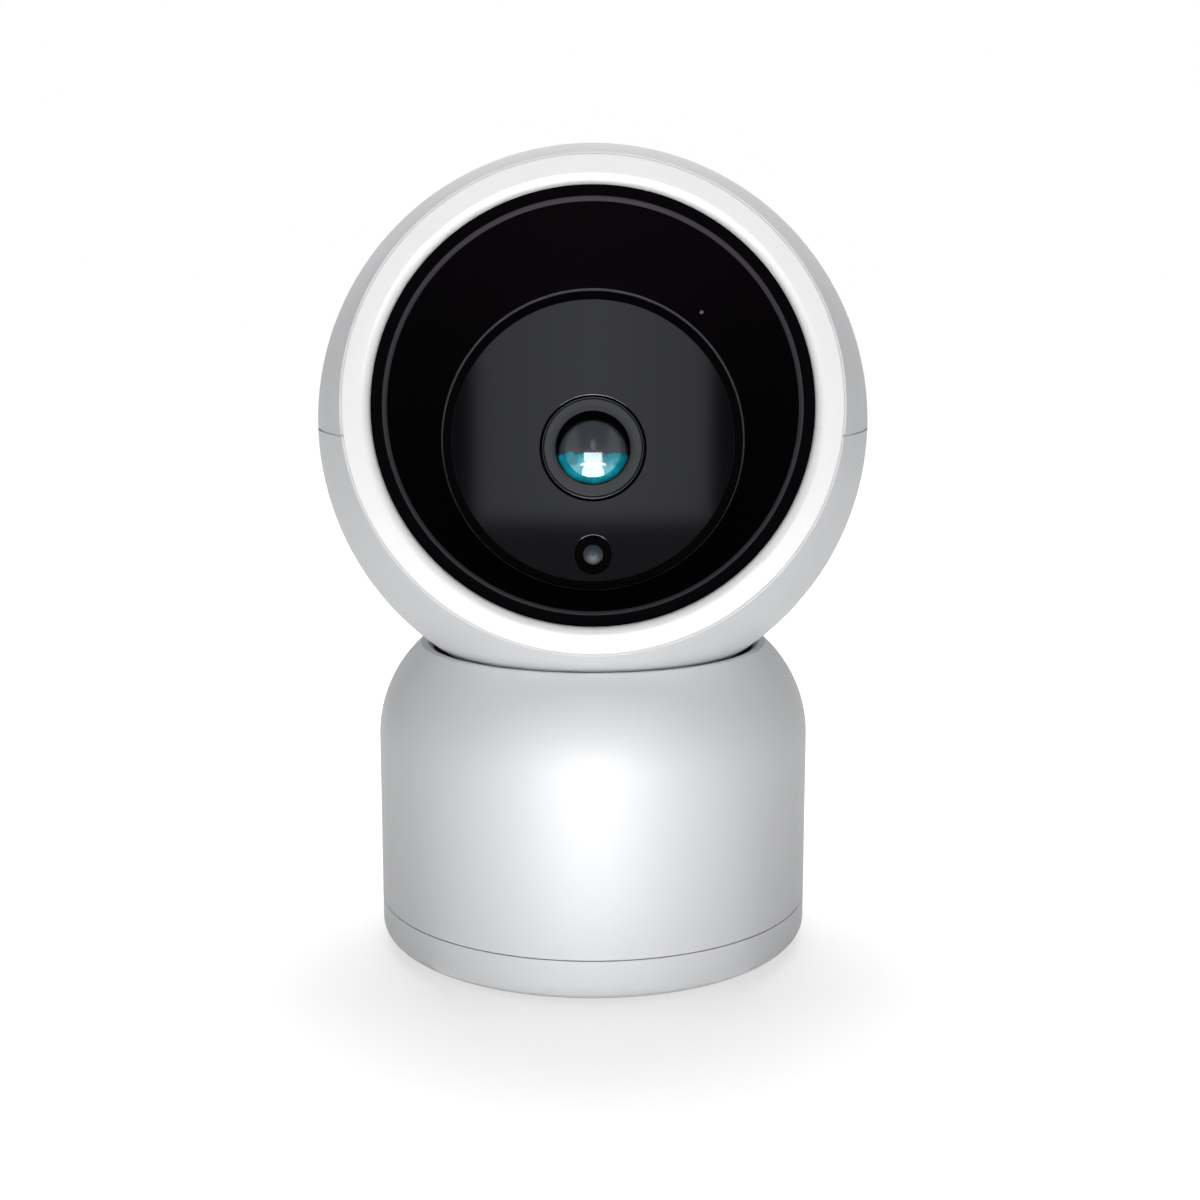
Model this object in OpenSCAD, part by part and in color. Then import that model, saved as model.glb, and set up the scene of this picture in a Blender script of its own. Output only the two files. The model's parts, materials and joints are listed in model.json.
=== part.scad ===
// Indoor pan-and-tilt security camera: a ball head that turns and nods in a round base.
// The origin is on the pan axis at floor level. +Z is up and the lens looks along -Y.
// The tilt axis runs along X through the middle of the ball.

/* [Head] */
// Outer radius of the ball head
head_r = 37.5; // [36.5:0.25:38.5]
// Wall of the two head shells
head_wall = 1.8; // [1.5:0.1:2.1]
// Space between the turntable and the lowest point of the ball
ball_gap = 2.3; // [2:0.1:3]
// Upward cant of the face at rest, in degrees
face_tilt = 12; // [8:1:16]
// Depth of the lip that centres the upper shell in the lower one
lip_depth = 1.6; // [1:0.2:2.4]
// Width and depth of the hairline groove where the shells meet
seam_groove = 0.3; // [0.2:0.05:0.5]

/* [Face] */
// Outer radius of the white face ring
ring_r = 32.3; // [31.5:0.1:33]
// Width of the face ring
ring_w = 3.8; // [3:0.1:4.4]
// Thickness of the face ring
ring_t = 1.5; // [1.2:0.1:1.8]
// Rounding of the ring's inner edge
ring_round = 1.2; // [0.6:0.1:1.4]
// Width of the flat black lip inside the face ring
lip_w = 1.9; // [1.4:0.1:2.4]
// Depth of the window below the face
hood_depth = 12; // [11:0.25:13]
// Wall of the black hood
hood_wall = 1.5; // [1.2:0.1:1.8]
// Visible radius of the window
window_r = 20.1; // [19.5:0.1:20.5]
// Distance of the window's centre below the face's centre
window_drop = 3.2; // [2.5:0.1:3.6]
// Thickness of the window
window_t = 1.5; // [1:0.1:2]

/* [Lens] */
// Distance of the lens axis below the face's centre
lens_drop = 4.3; // [3.5:0.1:5]
// Radius of the lens's front ring
lens_ring_r = 7; // [6.5:0.1:7.4]
// Radius of the lens barrel's thread
barrel_r = 6; // [5.6:0.1:6.2]
// Radius of the front glass
glass_r = 5.35; // [5:0.05:5.5]
// Edge of the square lens holder
holder_size = 17; // [16:0.5:18]
// Edge of the square camera board
camera_board_size = 21; // [19:0.5:21.2]
// Distance of the light sensor below the window's centre
sensor_drop = 15.4; // [14.5:0.1:16]
// Radius of the light sensor
sensor_r = 2.5; // [2:0.1:2.8]
// Number of infrared lamps round the lens
ir_count = 8; // [6:2:10]

/* [Boards] */
// Thickness of every circuit board
board_t = 1.4; // [1:0.1:1.6]
// Height of an infrared lamp
ir_h = 1.6; // [1.2:0.1:2]
// Height of the lens holder behind the frame
holder_h = 9.2; // [8.6:0.1:9.6]
// Height of the connector between the camera board and the main board
connector_h = 5.4; // [5.2:0.1:6]
// Width of the main board
main_w = 32; // [28:1:33]
// Thickness of the inner frame's plate
frame_t = 1.8; // [1.5:0.1:2]

/* [Tilt drive] */
// Module of all the gear teeth
gear_module = 0.7; // [0.65:0.01:0.72]
// Teeth on the tilt gear
tilt_teeth = 28; // [26:1:29]
// Teeth on each motor pinion
pinion_teeth = 12; // [11:1:13]
// Width of the tilt gear
tilt_gear_w = 2.5; // [2:0.1:2.8]
// Position of the tilt motor round the tilt axis, in degrees from the face's axis
tilt_motor_angle = 120; // [118:1:124]
// Radius of the tilt motor
tilt_motor_r = 7.5; // [6.5:0.1:7.6]
// Length of the tilt motor
tilt_motor_l = 10.5; // [9:0.5:11]
// Radius of the tilt pins
pin_r = 2.5; // [2:0.1:3]
// Radial running clearance of every shaft in its bush
running = 0.05; // [0.03:0.01:0.08]

/* [Yoke] */
// Lean of the yoke's post behind straight down, in degrees
post_lean = 30; // [28:1:32]
// Thickness of the post
post_t = 6; // [5:0.25:6.5]
// Width of the post
post_w = 10; // [8:0.5:11]
// Clearance between the post and the slot in the ball
slot_gap = 0.75; // [0.6:0.05:1]
// Greatest nod down from rest, in degrees
tilt_down = 22; // [15:1:24]
// Greatest nod up from rest, in degrees
tilt_up = 40; // [30:1:42]
// Clearance between the yoke and what turns beside it
yoke_gap = 0.2; // [0.15:0.05:0.4]
// Thickness of the yoke's arms
arm_t = 3; // [2.4:0.1:3.1]
// Width of the yoke's arms
arm_w = 8; // [6:0.5:9]
// Distance of the crossbar's inner face from the tilt axis
bar_in = 20.8; // [20.6:0.1:21.2]
// Thickness of the crossbar
bar_t = 2.4; // [2:0.1:2.6]

/* [Turntable] */
// Radius of the turntable
table_r = 23.6; // [22.8:0.1:23.8]
// Thickness of the turntable
table_t = 2.5; // [2:0.1:3]
// Teeth on the pan gear
pan_teeth = 36; // [34:1:38]
// Width of the pan gear
pan_gear_w = 3; // [2.5:0.1:3.5]
// Radius of the turntable's journal
journal_r = 4.5; // [4:0.1:5]
// Radius of the cable hole through the journal
cable_hole_r = 2.5; // [2:0.1:3]

/* [Base] */
// Outer radius of the base
base_r = 30.1; // [29.6:0.1:31]
// Wall of the base
base_wall = 1.6; // [1.4:0.1:1.8]
// Radius of the shoulder's curve
shoulder_r = 17.5; // [16:0.25:19]
// Outer radius of the collar's rim
collar_r = 24.2; // [24:0.1:24.6]
// Width of the collar's rim
collar_lip = 1; // [0.8:0.1:1.2]
// Gap between the ball and the collar
collar_gap = 0.6; // [0.4:0.1:0.8]
// Thickness of the deck that carries the pan drive
deck_t = 2; // [1.6:0.1:2.4]
// Radius of the pan motor
pan_motor_r = 9; // [8:0.25:9.4]
// Length of the pan motor
pan_motor_l = 15; // [13:0.5:16]
// Air under the pan motor
pan_motor_air = 3.9; // [3:0.1:5]

/* [Foot] */
// Height of the seam between the base and its bottom cover
seam_z = 6.5; // [6:0.1:7]
// Thickness of the bottom cover's floor
floor_t = 2; // [1.6:0.1:2.4]
// Rounding of the bottom edge
foot_round = 2.5; // [1:0.1:3]
// Height of the rubber ring below the bottom cover
pad_out = 0.6; // [0.4:0.05:0.65]
// Inner radius of the rubber ring
pad_in_r = 20; // [19:0.1:20.4]
// Outer radius of the rubber ring
pad_out_r = 26.2; // [26:0.1:26.8]
// Bore radius of the tripod insert, for a quarter-inch 20 TPI thread
thread_r = 2.6; // [2.5:0.01:2.7]
// Length of the tripod insert
thread_l = 6.5; // [5.5:0.25:7]

/* [Port, button and speaker] */
// Width of the power inlet's metal shell
inlet_w = 8.9; // [8:0.1:10]
// Height of the power inlet's metal shell
inlet_h = 3.2; // [2.6:0.1:3.6]
// Height of the power board above the floor
power_board_z = 8.6; // [8.6:0.1:9.2]
// Direction of the reset button, in degrees from +X
button_angle = 55; // [50:1:60]
// Radius of the reset button
button_r = 1.5; // [1.2:0.1:2]
// Travel of the reset button
button_travel = 0.6; // [0.4:0.1:0.8]
// Direction of the speaker, in degrees from +X
speaker_angle = 132; // [130:1:136]
// Radius of the speaker
speaker_r = 8; // [7:0.1:8.2]
// Radius of one hole of the speaker's grille
grille_hole_r = 0.7; // [0.5:0.05:0.9]

/* [Hidden] */
slip = 0.1; // gap between pieces that are pushed together
hair = 0.05; // gap between pieces that lie flush
m16 = [0.8, 1.6, 0.9]; // M1.6 screw: radii of shank and head, height of head
m2 = [1, 1.9, 1];
m25 = [1.25, 2.1, 1.6];
hole_play = 0.1; // radial gap between a screw and its clearance hole
$fn = 96;

// The stack of the base, from the floor up.
floor_top = pad_out + floor_t;
pad_seat = 0.6;
cover_lip_r = base_r - base_wall - slip;
cover_lip_t = 1.4;
cover_lip_top = seam_z + 2;
deck_z = floor_top + pan_motor_air + pan_motor_l;
deck_top = deck_z + deck_t;
bush_flange_t = 0.8;
hub_z = deck_top + bush_flange_t + slip;
pan_gear_z = deck_top + 2.5;
shoulder_z = pan_gear_z + pan_gear_w;
table_z = shoulder_z + 1.5;
table_top = table_z + table_t;
head_z = table_top + ball_gap + head_r;

// The collar and the shoulder of the base.
seat_r = head_r + collar_gap;
rim_z = head_z - sqrt(pow(seat_r, 2) - pow(collar_r - collar_lip, 2));
shoulder_x = base_r - shoulder_r;
shoulder_cz = rim_z - sqrt(pow(shoulder_r, 2) - pow(collar_r - shoulder_x, 2));
inner_r = base_r - base_wall;

// The pan drive.
pan_gear_r = gear_module * pan_teeth / 2;
pinion_pitch_r = gear_module * pinion_teeth / 2;
pan_centre = pan_gear_r + pinion_pitch_r;
bush_wall = 1.5;
pan_bush_r = journal_r + running + bush_wall;
deck_boss_z = deck_z - 3.5;
clip_t = 0.7;
clip_z = deck_boss_z - 0.4 - clip_t;
clip_depth = 0.6;
clip_r = journal_r + 2.2;
clip_mouth = 2.4;
journal_z = clip_z - 1.4;
hub_r = journal_r + 1.3;
table_shoulder_r = hub_r + 4.4;
gear_screw_r = (hub_r + table_shoulder_r) / 2;
gear_screw_angles = [30, 150, 270];
shaft_r = 1;
motor_nose_r = 3.9;
motor_nose_h = 1.5;
ear_x = pan_motor_r + 2.2;
ear_r = 2.2;
ear_t = 0.8;
boss_r = 3;
post_gap = 2.2;
post_ring_r = inner_r - boss_r - post_gap;
base_screw_z = pad_out + pad_seat + m25[2] + 0.6;
base_screw_tip = cover_lip_top + 8;
post_angles = [-40, -140, 12, 168];
stop_angles = [-65, 50, 150];
stop_r = 2.4;
stop_ring_r = inner_r + 0.2 - stop_r;

// The hole in the deck that the wiring passes through.
wire_angle = 100;
wire_ring_r = 16;
wire_hole_r = 3;

// The face's stack, outwards along the face's own axis.
face_w = sqrt(pow(head_r, 2) - pow(ring_r, 2));
ring_in_r = ring_r - ring_w;
ring_back = face_w - ring_t;
window_w = face_w - hood_depth;
window_rim = 1.1;
window_back = window_w - window_t;
ir_top = window_back - 0.15 - ir_h;
ir_back = ir_top - board_t;
frame_back = ir_back - frame_t;
camera_top = frame_back - holder_h;
camera_back = camera_top - board_t;
main_top = camera_back - connector_h;
main_back = main_top - board_t;
flange_top = ring_back - 1.25;
flange_t = 1.6;
flange_r = sqrt(pow(head_r - head_wall, 2) - pow(flange_top, 2)) - 0.2;
rib_top = flange_top - flange_t - hair;
rib_t = 1.6;
rib_in_r = ring_in_r + 0.7;

// The tilt drive.
ball_in_r = head_r - head_wall;
tilt_gear_r = gear_module * tilt_teeth / 2;
tilt_centre = tilt_gear_r + pinion_pitch_r;
pocket_r = window_r + window_rim + slip;
arm_x = pocket_r + hood_wall + yoke_gap;
arm_out = arm_x + arm_t;
gear_x = arm_out + 0.4;
gear_out = gear_x + tilt_gear_w;
boss_right = gear_out + 0.6;
boss_left = arm_out + 0.6;
bush_l = 3.9;
pinion_shift = 0.35; // outward shift of a pinion's teeth, in modules
backlash = 0.03; // taken off each side of a tooth at the pitch circle
tilt_bush_r = pin_r + running + bush_wall;
trunnion_r = tilt_bush_r + 2;
hub_wall = 2.4;
arm_hub_r = pin_r + hub_wall;
frame_x = arm_x - 0.5;
bracket_t = 1.2;
tilt_motor_x = frame_x - bracket_t;
motor_y = tilt_centre * sin(tilt_motor_angle);
motor_w = tilt_centre * cos(tilt_motor_angle);
motor_screw_off = 5.4;
tilt_nose_r = shaft_r + 1;

// The post's path out of the ball, and the slot that it needs.
post_reach = head_r + 4;
foot_front = (head_r + 0.5) * sin(post_lean) - post_t / 2 * cos(post_lean) + 0.2;
foot_back = post_reach * sin(post_lean) + post_t / 2 * cos(post_lean) - 0.3;
foot_top = head_z - (head_r + 1.5) * cos(post_lean) - 1.5;
flange_y = foot_front - 4.6;
slot_half = asin((post_t / 2 + slot_gap) / head_r);
slot_from = post_lean - tilt_down - slot_half;
slot_to = post_lean + tilt_up + slot_half;
shield_r = ball_in_r - 0.5;
shield_t = 0.7;
shield_half = post_w / 2 + 3.5;
shield_to = slot_to + tilt_down + 4;
yoke_screw_x = 6.5;
yoke_screw_y = flange_y + 2.2;
foot_w = 18;
foot_t = 2;
shield_pad_w = 8.4;
shield_pad_low = 1 - shield_r;
shield_pad_t = 1.2;
shield_screw_z = shield_pad_low + 5.4;

// The frame behind the window, and what stands on it.
frame_low = -21.5;
frame_high = 20;
frame_bosses = [[19.5, 17.5], [-19.5, 17.5], [17.5, -19], [-17.5, -19]];
standoffs = [[13.5, -8.5], [-13.5, -8.5], [-12, 16], [5, 16]];
main_low = -11;
main_high = 24;
mic_at = [14.5, 13.6];
snap_angles = [25, 155, -16, 196];
snap_w = 5;
snap_t = 1.2;
snap_low = -5;
frame_boss_r = 2.3;
standoff_r = 2;
lens_front = window_w + 0.25;
lens_seat = window_back - 0.9;
sensor_lens_r = sensor_r * 0.54;
sensor_well = 1;
mic_hole_r = 0.5;

// The base's rear: the power board and what stands on it.
board_y = inner_r - 19.5;
board_posts = [[-3, board_y + 3], [16, board_y + 3], [8, board_y + 15]];
board_top = power_board_z + board_t;
board_post_r = 2.2;
power_board_w = 30;
power_board_d = 19;
insert_r = thread_r + 1.6;
inlet_l = 7.3;
inlet_y = inner_r + 0.1 - inlet_l;
switch_size = 6;
button_z = board_top + switch_size / 2;
speaker_z = floor_top + speaker_r + 1.9;
speaker_at = inner_r - 7.5;
speaker_t = 4.4;
magnet_r = speaker_r - 2.5;
flange_l = 0.7;
plunger_r = 1.6;
plunger_in = inner_r - 3.6;
plunger_out = inner_r - 1.3;

// ---- Shared frames and shapes ----

// The ball's centre, with the axes of the whole camera.
module at_ball() {
    translate([0, 0, head_z]) children();
}

// The face's own frame: Z points out of the face and Y points up along it.
module at_face(w = 0) {
    at_ball() rotate([90 - face_tilt, 0, 0]) translate([0, 0, w]) children();
}

// The yoke's own frame: the post runs along -Z.
module at_yoke() {
    at_ball() rotate([post_lean, 0, 0]) children();
}

// The tilt motor's axis, as the local X axis.
module at_tilt_motor() {
    at_face(motor_w) translate([0, motor_y, 0]) children();
}

// A place at an angle and a distance round the pan axis.
module around(angle, r) {
    rotate([0, 0, angle]) translate([r, 0, 0]) children();
}

// A round bar along X.
module bar_x(r, x0, x1) {
    translate([x0, 0, 0]) rotate([0, 90, 0]) cylinder(r = r, h = x1 - x0);
}

// A sweep about X of an outline in radius and X, from one angle to another behind straight down.
module sweep_x(a0, a1) {
    rotate([0, 90, 0]) rotate([0, 0, a0]) rotate_extrude(angle = a1 - a0) children();
}

// A ring about Z.
module ring(r_out, r_in, z0, z1) {
    translate([0, 0, z0]) difference() {
        cylinder(r = r_out, h = z1 - z0);
        translate([0, 0, -1]) cylinder(r = r_in, h = z1 - z0 + 2);
    }
}

// A box about the Z axis.
module slab(w, d, z0, z1) {
    translate([-w / 2, -d / 2, z0]) cube([w, d, z1 - z0]);
}

// A cross-head screw whose shank points up from its head's seat at z = 0.
// Its kind lists the shank's radius, the head's radius and the head's height.
module screw(kind, length) {
    head = kind[1];
    head_h = kind[2];
    difference() {
        union() {
            translate([0, 0, -head_h]) cylinder(r = head, h = head_h);
            cylinder(r = kind[0], h = length);
        }
        for (a = [0, 90]) rotate([0, 0, a])
            slab(head * 1.2, head * 0.3, -head_h - 1, -head_h / 2);
    }
}

// The upper or lower half of space, cut at the ball's centre.
module half_space(upper) {
    translate([-60, -60, upper ? 0 : -120]) cube(120);
}

// ---- Gears ----

function involute(a) = tan(a) * 180 / PI - a;

// Half of the angle that a tooth takes up at radius r.
function tooth_half(r, teeth, shift) =
    let (pitch = gear_module * teeth / 2, base = pitch * cos(20))
    90 / teeth + 2 * shift * tan(20) / teeth * 180 / PI - backlash / pitch * 180 / PI
    + involute(20) - involute(acos(min(1, base / r)));

function polar(r, a) = [r * cos(a), r * sin(a)];

// The outline of a gear with one tooth on +X. A pinion's teeth are shifted outwards.
function gear_points(teeth, shift) =
    let (
        pitch = gear_module * teeth / 2,
        tip = pitch + gear_module * (1 + shift),
        root = pitch - gear_module * (1.25 - shift),
        start = max(root, pitch * cos(20)),
        steps = 4,
        radii = [for (i = [0 : steps]) start + (tip - start) * i / steps],
        halves = [for (r = radii) tooth_half(r, teeth, shift)]
    )
    [for (t = [0 : teeth - 1])
        let (mid = t * 360 / teeth)
        each concat(
            [polar(root - 0.02, mid - halves[0])],
            [for (i = [0 : steps]) polar(radii[i], mid - halves[i])],
            [for (i = [steps : -1 : 0]) polar(radii[i], mid + halves[i])],
            [polar(root - 0.02, mid + halves[0])]
        )];

module gear(teeth, shift, bore, width) {
    difference() {
        linear_extrude(width) polygon(gear_points(teeth, shift));
        translate([0, 0, -1]) cylinder(r = bore, h = width + 2);
    }
}

// ---- Head: shells and face ----

// The outline of the ball's wall above a height, or below it.
module wall_outline(height, above) {
    intersection() {
        difference() {
            circle(r = head_r);
            circle(r = ball_in_r);
        }
        translate([0, above ? height : height - 2 * head_r]) square(2 * head_r);
    }
}

// A turned wall of the ball with its face opening and its ring seat.
module ball_wall() {
    difference() {
        rotate_extrude() children();
        rotate([90 - face_tilt, 0, 0]) translate([0, 0, face_w]) cylinder(r = head_r, h = head_r);
        rotate([90 - face_tilt, 0, 0]) translate([0, 0, ring_back])
            cylinder(r = ring_r - 0.25, h = head_r);
    }
}

// The ledge inside the ball that the hood's flange rests on.
module hood_ledge() {
    rotate([90 - face_tilt, 0, 0]) rotate_extrude() intersection() {
        circle(r = ball_in_r + 0.3);
        translate([rib_in_r, rib_top - rib_t]) square([head_r, rib_t]);
    }
}

// The bosses that hold the tilt bushes, split between the two shells.
module trunnion_bosses() {
    for (side = [[0, boss_right], [180, boss_left]])
        rotate([0, 90 + side[0], 0]) rotate_extrude() difference() {
            intersection() {
                circle(r = ball_in_r + 0.3);
                translate([0, side[1]]) square([trunnion_r, head_r]);
            }
            translate([0, side[1] - 1]) square([tilt_bush_r, bush_l + 1]);
        }
}

module snap_tab() {
    r = ball_in_r - 0.6;
    translate([r - snap_t, -snap_w / 2, snap_low]) cube([snap_t, snap_w, 7.5]);
    translate([r - snap_t, -snap_w / 2, 0.3]) cube([snap_t + 0.8, snap_w, 2.2]);
    translate([r - 0.01, -snap_w / 2, snap_low + 0.4]) cube([1, snap_w, 1.2]);
}

module snap_pocket() {
    translate([ball_in_r - 2, -snap_w / 2 - 0.2, snap_low + 0.2]) cube([2.7, snap_w + 0.4, 1.6]);
}

module head_upper_shell() {
    color("white") at_ball() {
        ball_wall() {
            wall_outline(0, true);
            intersection() {
                wall_outline(-lip_depth, true);
                translate([0, -lip_depth]) square([head_r - 1, 2 * lip_depth]);
            }
        }
        intersection() {
            union() {
                hood_ledge();
                trunnion_bosses();
            }
            half_space(true);
        }
        for (a = snap_angles) rotate([0, 0, a]) snap_tab();
    }
}

module head_lower_shell() {
    color("white") at_ball() difference() {
        union() {
            ball_wall() difference() {
                wall_outline(0, false);
                translate([head_r - seam_groove, -seam_groove]) square(1);
            }
            intersection() {
                union() {
                    hood_ledge();
                    trunnion_bosses();
                }
                half_space(false);
            }
        }
        ring(head_r - 1 + hair, ball_in_r - slip, -lip_depth - hair, 1);
        for (a = snap_angles) rotate([0, 0, a]) snap_pocket();
        sweep_x(slot_from, slot_to) translate([ball_in_r - 4, -post_w / 2 - slot_gap])
            square([10, post_w + 2 * slot_gap]);
    }
}

module front_ring() {
    skirt_in = ring_in_r + hood_wall + hair;
    skirt_out = sqrt(pow(ball_in_r, 2) - pow(ring_back, 2)) - hair;
    color("white") at_face() rotate_extrude() difference() {
        union() {
            translate([ring_in_r, ring_back]) square([ring_r - 0.3 - ring_in_r, ring_t]);
            translate([skirt_in, flange_top + hair])
                square([skirt_out - skirt_in, ring_back - flange_top]);
        }
        translate([ring_in_r - 1, face_w - ring_round]) difference() {
            square([ring_round + 1, ring_round + 1]);
            translate([ring_round + 1, 0]) circle(r = ring_round);
        }
    }
}

// A slanted funnel from a round mouth down to a round hole that lies lower on the face.
module funnel(mouth_r, mouth_w, hole_r, hole_w) {
    hull() {
        translate([0, 0, mouth_w - 0.01]) cylinder(r = mouth_r, h = 0.01, $fn = 128);
        translate([0, -window_drop, hole_w]) cylinder(r = hole_r, h = 0.01, $fn = 128);
    }
}

module hood() {
    mouth_r = ring_in_r - lip_w;
    mouth_w = ring_back - hair;
    low = window_back - 0.3;
    color([0.03, 0.03, 0.035]) at_face() difference() {
        union() {
            funnel(mouth_r + hood_wall, mouth_w, pocket_r + hood_wall, low);
            translate([0, 0, mouth_w - hood_wall]) cylinder(r = ring_in_r + hood_wall, h = hood_wall);
            translate([0, 0, flange_top - flange_t]) cylinder(r = flange_r, h = flange_t);
            for (p = frame_bosses)
                translate([p[0], p[1], ir_back])
                    cylinder(r = frame_boss_r, h = flange_top - flange_t / 2 - ir_back);
        }
        funnel(mouth_r, mouth_w + 0.01, window_r, window_w);
        translate([0, -window_drop, window_w - 0.01]) cylinder(r = window_r, h = 0.02);
        translate([0, -window_drop, low - 1]) cylinder(r = pocket_r, h = window_w - low + 1);
        translate([mic_at[0], mic_at[1], low - 1]) cylinder(r = mic_hole_r, h = 8);
        for (p = frame_bosses)
            translate([p[0], p[1], ir_back - 1]) cylinder(r = m16[0], h = 6);
    }
}

module window() {
    color([0.06, 0.06, 0.07]) at_face(window_back) difference() {
        translate([0, -window_drop, 0]) cylinder(r = window_r + window_rim, h = window_t);
        translate([0, -lens_drop, -1]) cylinder(r = lens_ring_r + 0.75, h = window_t + 2);
        translate([0, -window_drop - sensor_drop, -1]) cylinder(r = sensor_r + slip, h = window_t + 2);
    }
}

// ---- Head: lens and sensor ----

module lens_barrel() {
    back = camera_top + 2.9;
    color([0.08, 0.08, 0.09]) at_face() translate([0, -lens_drop, 0]) rotate_extrude()
        polygon([
            [glass_r + hair, lens_seat], [glass_r + hair, lens_front - 1],
            [glass_r + 0.7, lens_front - 0.1], [lens_ring_r - 0.15, lens_front],
            [lens_ring_r, lens_front - 0.15], [lens_ring_r, window_back - 1.5],
            [barrel_r, window_back - 1.5], [barrel_r, back],
            [glass_r / 2, back], [glass_r / 2, back + 1],
            [glass_r - 0.6, back + 1], [glass_r - 0.6, lens_seat]
        ]);
}

module front_lens() {
    dome_h = 1.9;
    dome_r = (pow(glass_r, 2) + pow(dome_h, 2)) / (2 * dome_h);
    edge = 0.4;
    color([0.1, 0.6, 0.7, 0.6]) at_face() translate([0, -lens_drop, lens_seat]) {
        intersection() {
            cylinder(r = glass_r, h = edge + dome_h + 1);
            translate([0, 0, edge + dome_h - dome_r]) sphere(r = dome_r);
            translate([-20, -20, 0]) cube(40);
        }
    }
}

module rear_lens() {
    color([0.5, 0.6, 0.7, 0.6]) at_face() translate([0, -lens_drop, camera_top + 3.95])
        intersection() {
            cylinder(r = glass_r - 0.65, h = 2);
            translate([0, 0, -7]) sphere(r = 9);
        }
}

module lens_holder() {
    color([0.1, 0.1, 0.1]) at_face() translate([0, -lens_drop, 0]) difference() {
        slab(holder_size, holder_size, camera_top, frame_back);
        translate([0, 0, camera_top - 1]) cylinder(r = barrel_r + hair, h = holder_h + 2);
        slab(10, 10, camera_top - 1, camera_top + 1.8);
    }
}

module image_sensor() {
    color([0.2, 0.2, 0.3]) at_face() translate([0, -lens_drop, 0])
        slab(7.5, 6.5, camera_top, camera_top + 1);
}

module camera_board() {
    color([0.05, 0.3, 0.15]) at_face() translate([0, -lens_drop, 0])
        slab(camera_board_size, camera_board_size, camera_back, camera_top);
}

module ir_board() {
    color([0.05, 0.3, 0.15]) at_face(ir_back) difference() {
        translate([0, -window_drop, 0]) cylinder(r = window_r - 0.6, h = board_t);
        translate([0, -lens_drop, -1]) cylinder(r = lens_ring_r + 1, h = board_t + 2);
    }
}

module ir_lamps() {
    step = 360 / ir_count;
    color([0.85, 0.85, 0.9, 0.6]) at_face(ir_top) translate([0, -window_drop, 0])
        for (i = [0 : ir_count - 1])
            rotate([0, 0, 90 + step * (i + 0.5)]) translate([window_r - 6, 0, 0]) {
                cylinder(r = 1.6, h = ir_h * 0.6);
                translate([0, 0, ir_h * 0.6]) cylinder(r1 = 1.4, r2 = 0.8, h = ir_h * 0.4);
            }
}

module light_sensor() {
    color([0.1, 0.1, 0.1]) at_face() translate([0, -window_drop - sensor_drop, 0]) difference() {
        translate([0, 0, ir_top]) cylinder(r = sensor_r, h = window_w - ir_top - 0.1);
        translate([0, 0, window_w - sensor_well]) cylinder(r = sensor_lens_r, h = 2);
    }
}

module light_sensor_lens() {
    dome_r = 2 * sensor_lens_r;
    color([0.85, 0.85, 0.9]) at_face(window_w - sensor_well)
        translate([0, -window_drop - sensor_drop, 0]) intersection() {
            cylinder(r = sensor_lens_r - 0.02, h = 2);
            translate([0, 0, 1.1 - dome_r]) sphere(r = dome_r);
        }
}

module microphone() {
    color("silver") at_face(ir_back) translate([mic_at[0], mic_at[1], 0])
        cylinder(r = 2, h = window_back - 0.8 - ir_back);
}

// ---- Head: frame, boards and tilt motor ----

module inner_frame() {
    color([0.25, 0.25, 0.27]) at_face() difference() {
        union() {
            translate([-frame_x, frame_low, frame_back])
                cube([2 * frame_x, frame_high - frame_low, frame_t]);
            translate([tilt_motor_x, motor_y - tilt_motor_r, motor_w - tilt_motor_r])
                cube([bracket_t, frame_high - motor_y + tilt_motor_r,
                    frame_back + frame_t / 2 - motor_w + tilt_motor_r]);
            for (p = standoffs)
                translate([p[0], p[1], main_top])
                    cylinder(r = standoff_r, h = frame_back + frame_t / 2 - main_top);
        }
        translate([0, -lens_drop, frame_back - 1]) cylinder(r = lens_ring_r + 0.3, h = frame_t + 2);
        translate([0, motor_y, motor_w]) bar_x(tilt_nose_r + slip, tilt_motor_x - 1, frame_x + 1);
        for (s = [-1, 1])
            translate([0, motor_y + s * motor_screw_off, motor_w])
                bar_x(m16[0] + hole_play, tilt_motor_x - 1, frame_x + 1);
        for (p = standoffs)
            translate([p[0], p[1], main_top - 1]) cylinder(r = m16[0], h = 6);
        for (p = frame_bosses) translate([p[0], p[1], frame_back - 1]) {
            cylinder(r = m16[0] + hole_play, h = frame_t + 2);
            cylinder(r = m16[1] + hole_play, h = 2);
        }
    }
}

module frame_screws() {
    color("silver") for (p = frame_bosses)
        at_face(frame_back + 1) translate([p[0], p[1], 0]) screw(m16, frame_t + 4);
}

module main_board() {
    color([0.05, 0.3, 0.15]) at_face() difference() {
        translate([-main_w / 2, main_low, main_back]) cube([main_w, main_high - main_low, board_t]);
        for (p = standoffs) translate([p[0], p[1], main_back - 1])
            cylinder(r = m16[0] + hole_play, h = board_t + 2);
    }
}

module board_screws() {
    color("silver") for (p = standoffs)
        at_face(main_back) translate([p[0], p[1], 0]) screw(m16, board_t + 4);
}

module shield_can() {
    color("silver") at_face() translate([-3, 3, 0]) slab(15, 15, main_back - 1.6, main_back);
}

module board_connector() {
    color("ivory") at_face() translate([0, -lens_drop - 3, 0]) slab(12, 4, main_top, camera_back);
}

module wifi_antenna() {
    color("gold") at_face() translate([0, main_high - 3, 0]) slab(14, 3, main_back - 0.8, main_back);
}

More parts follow.
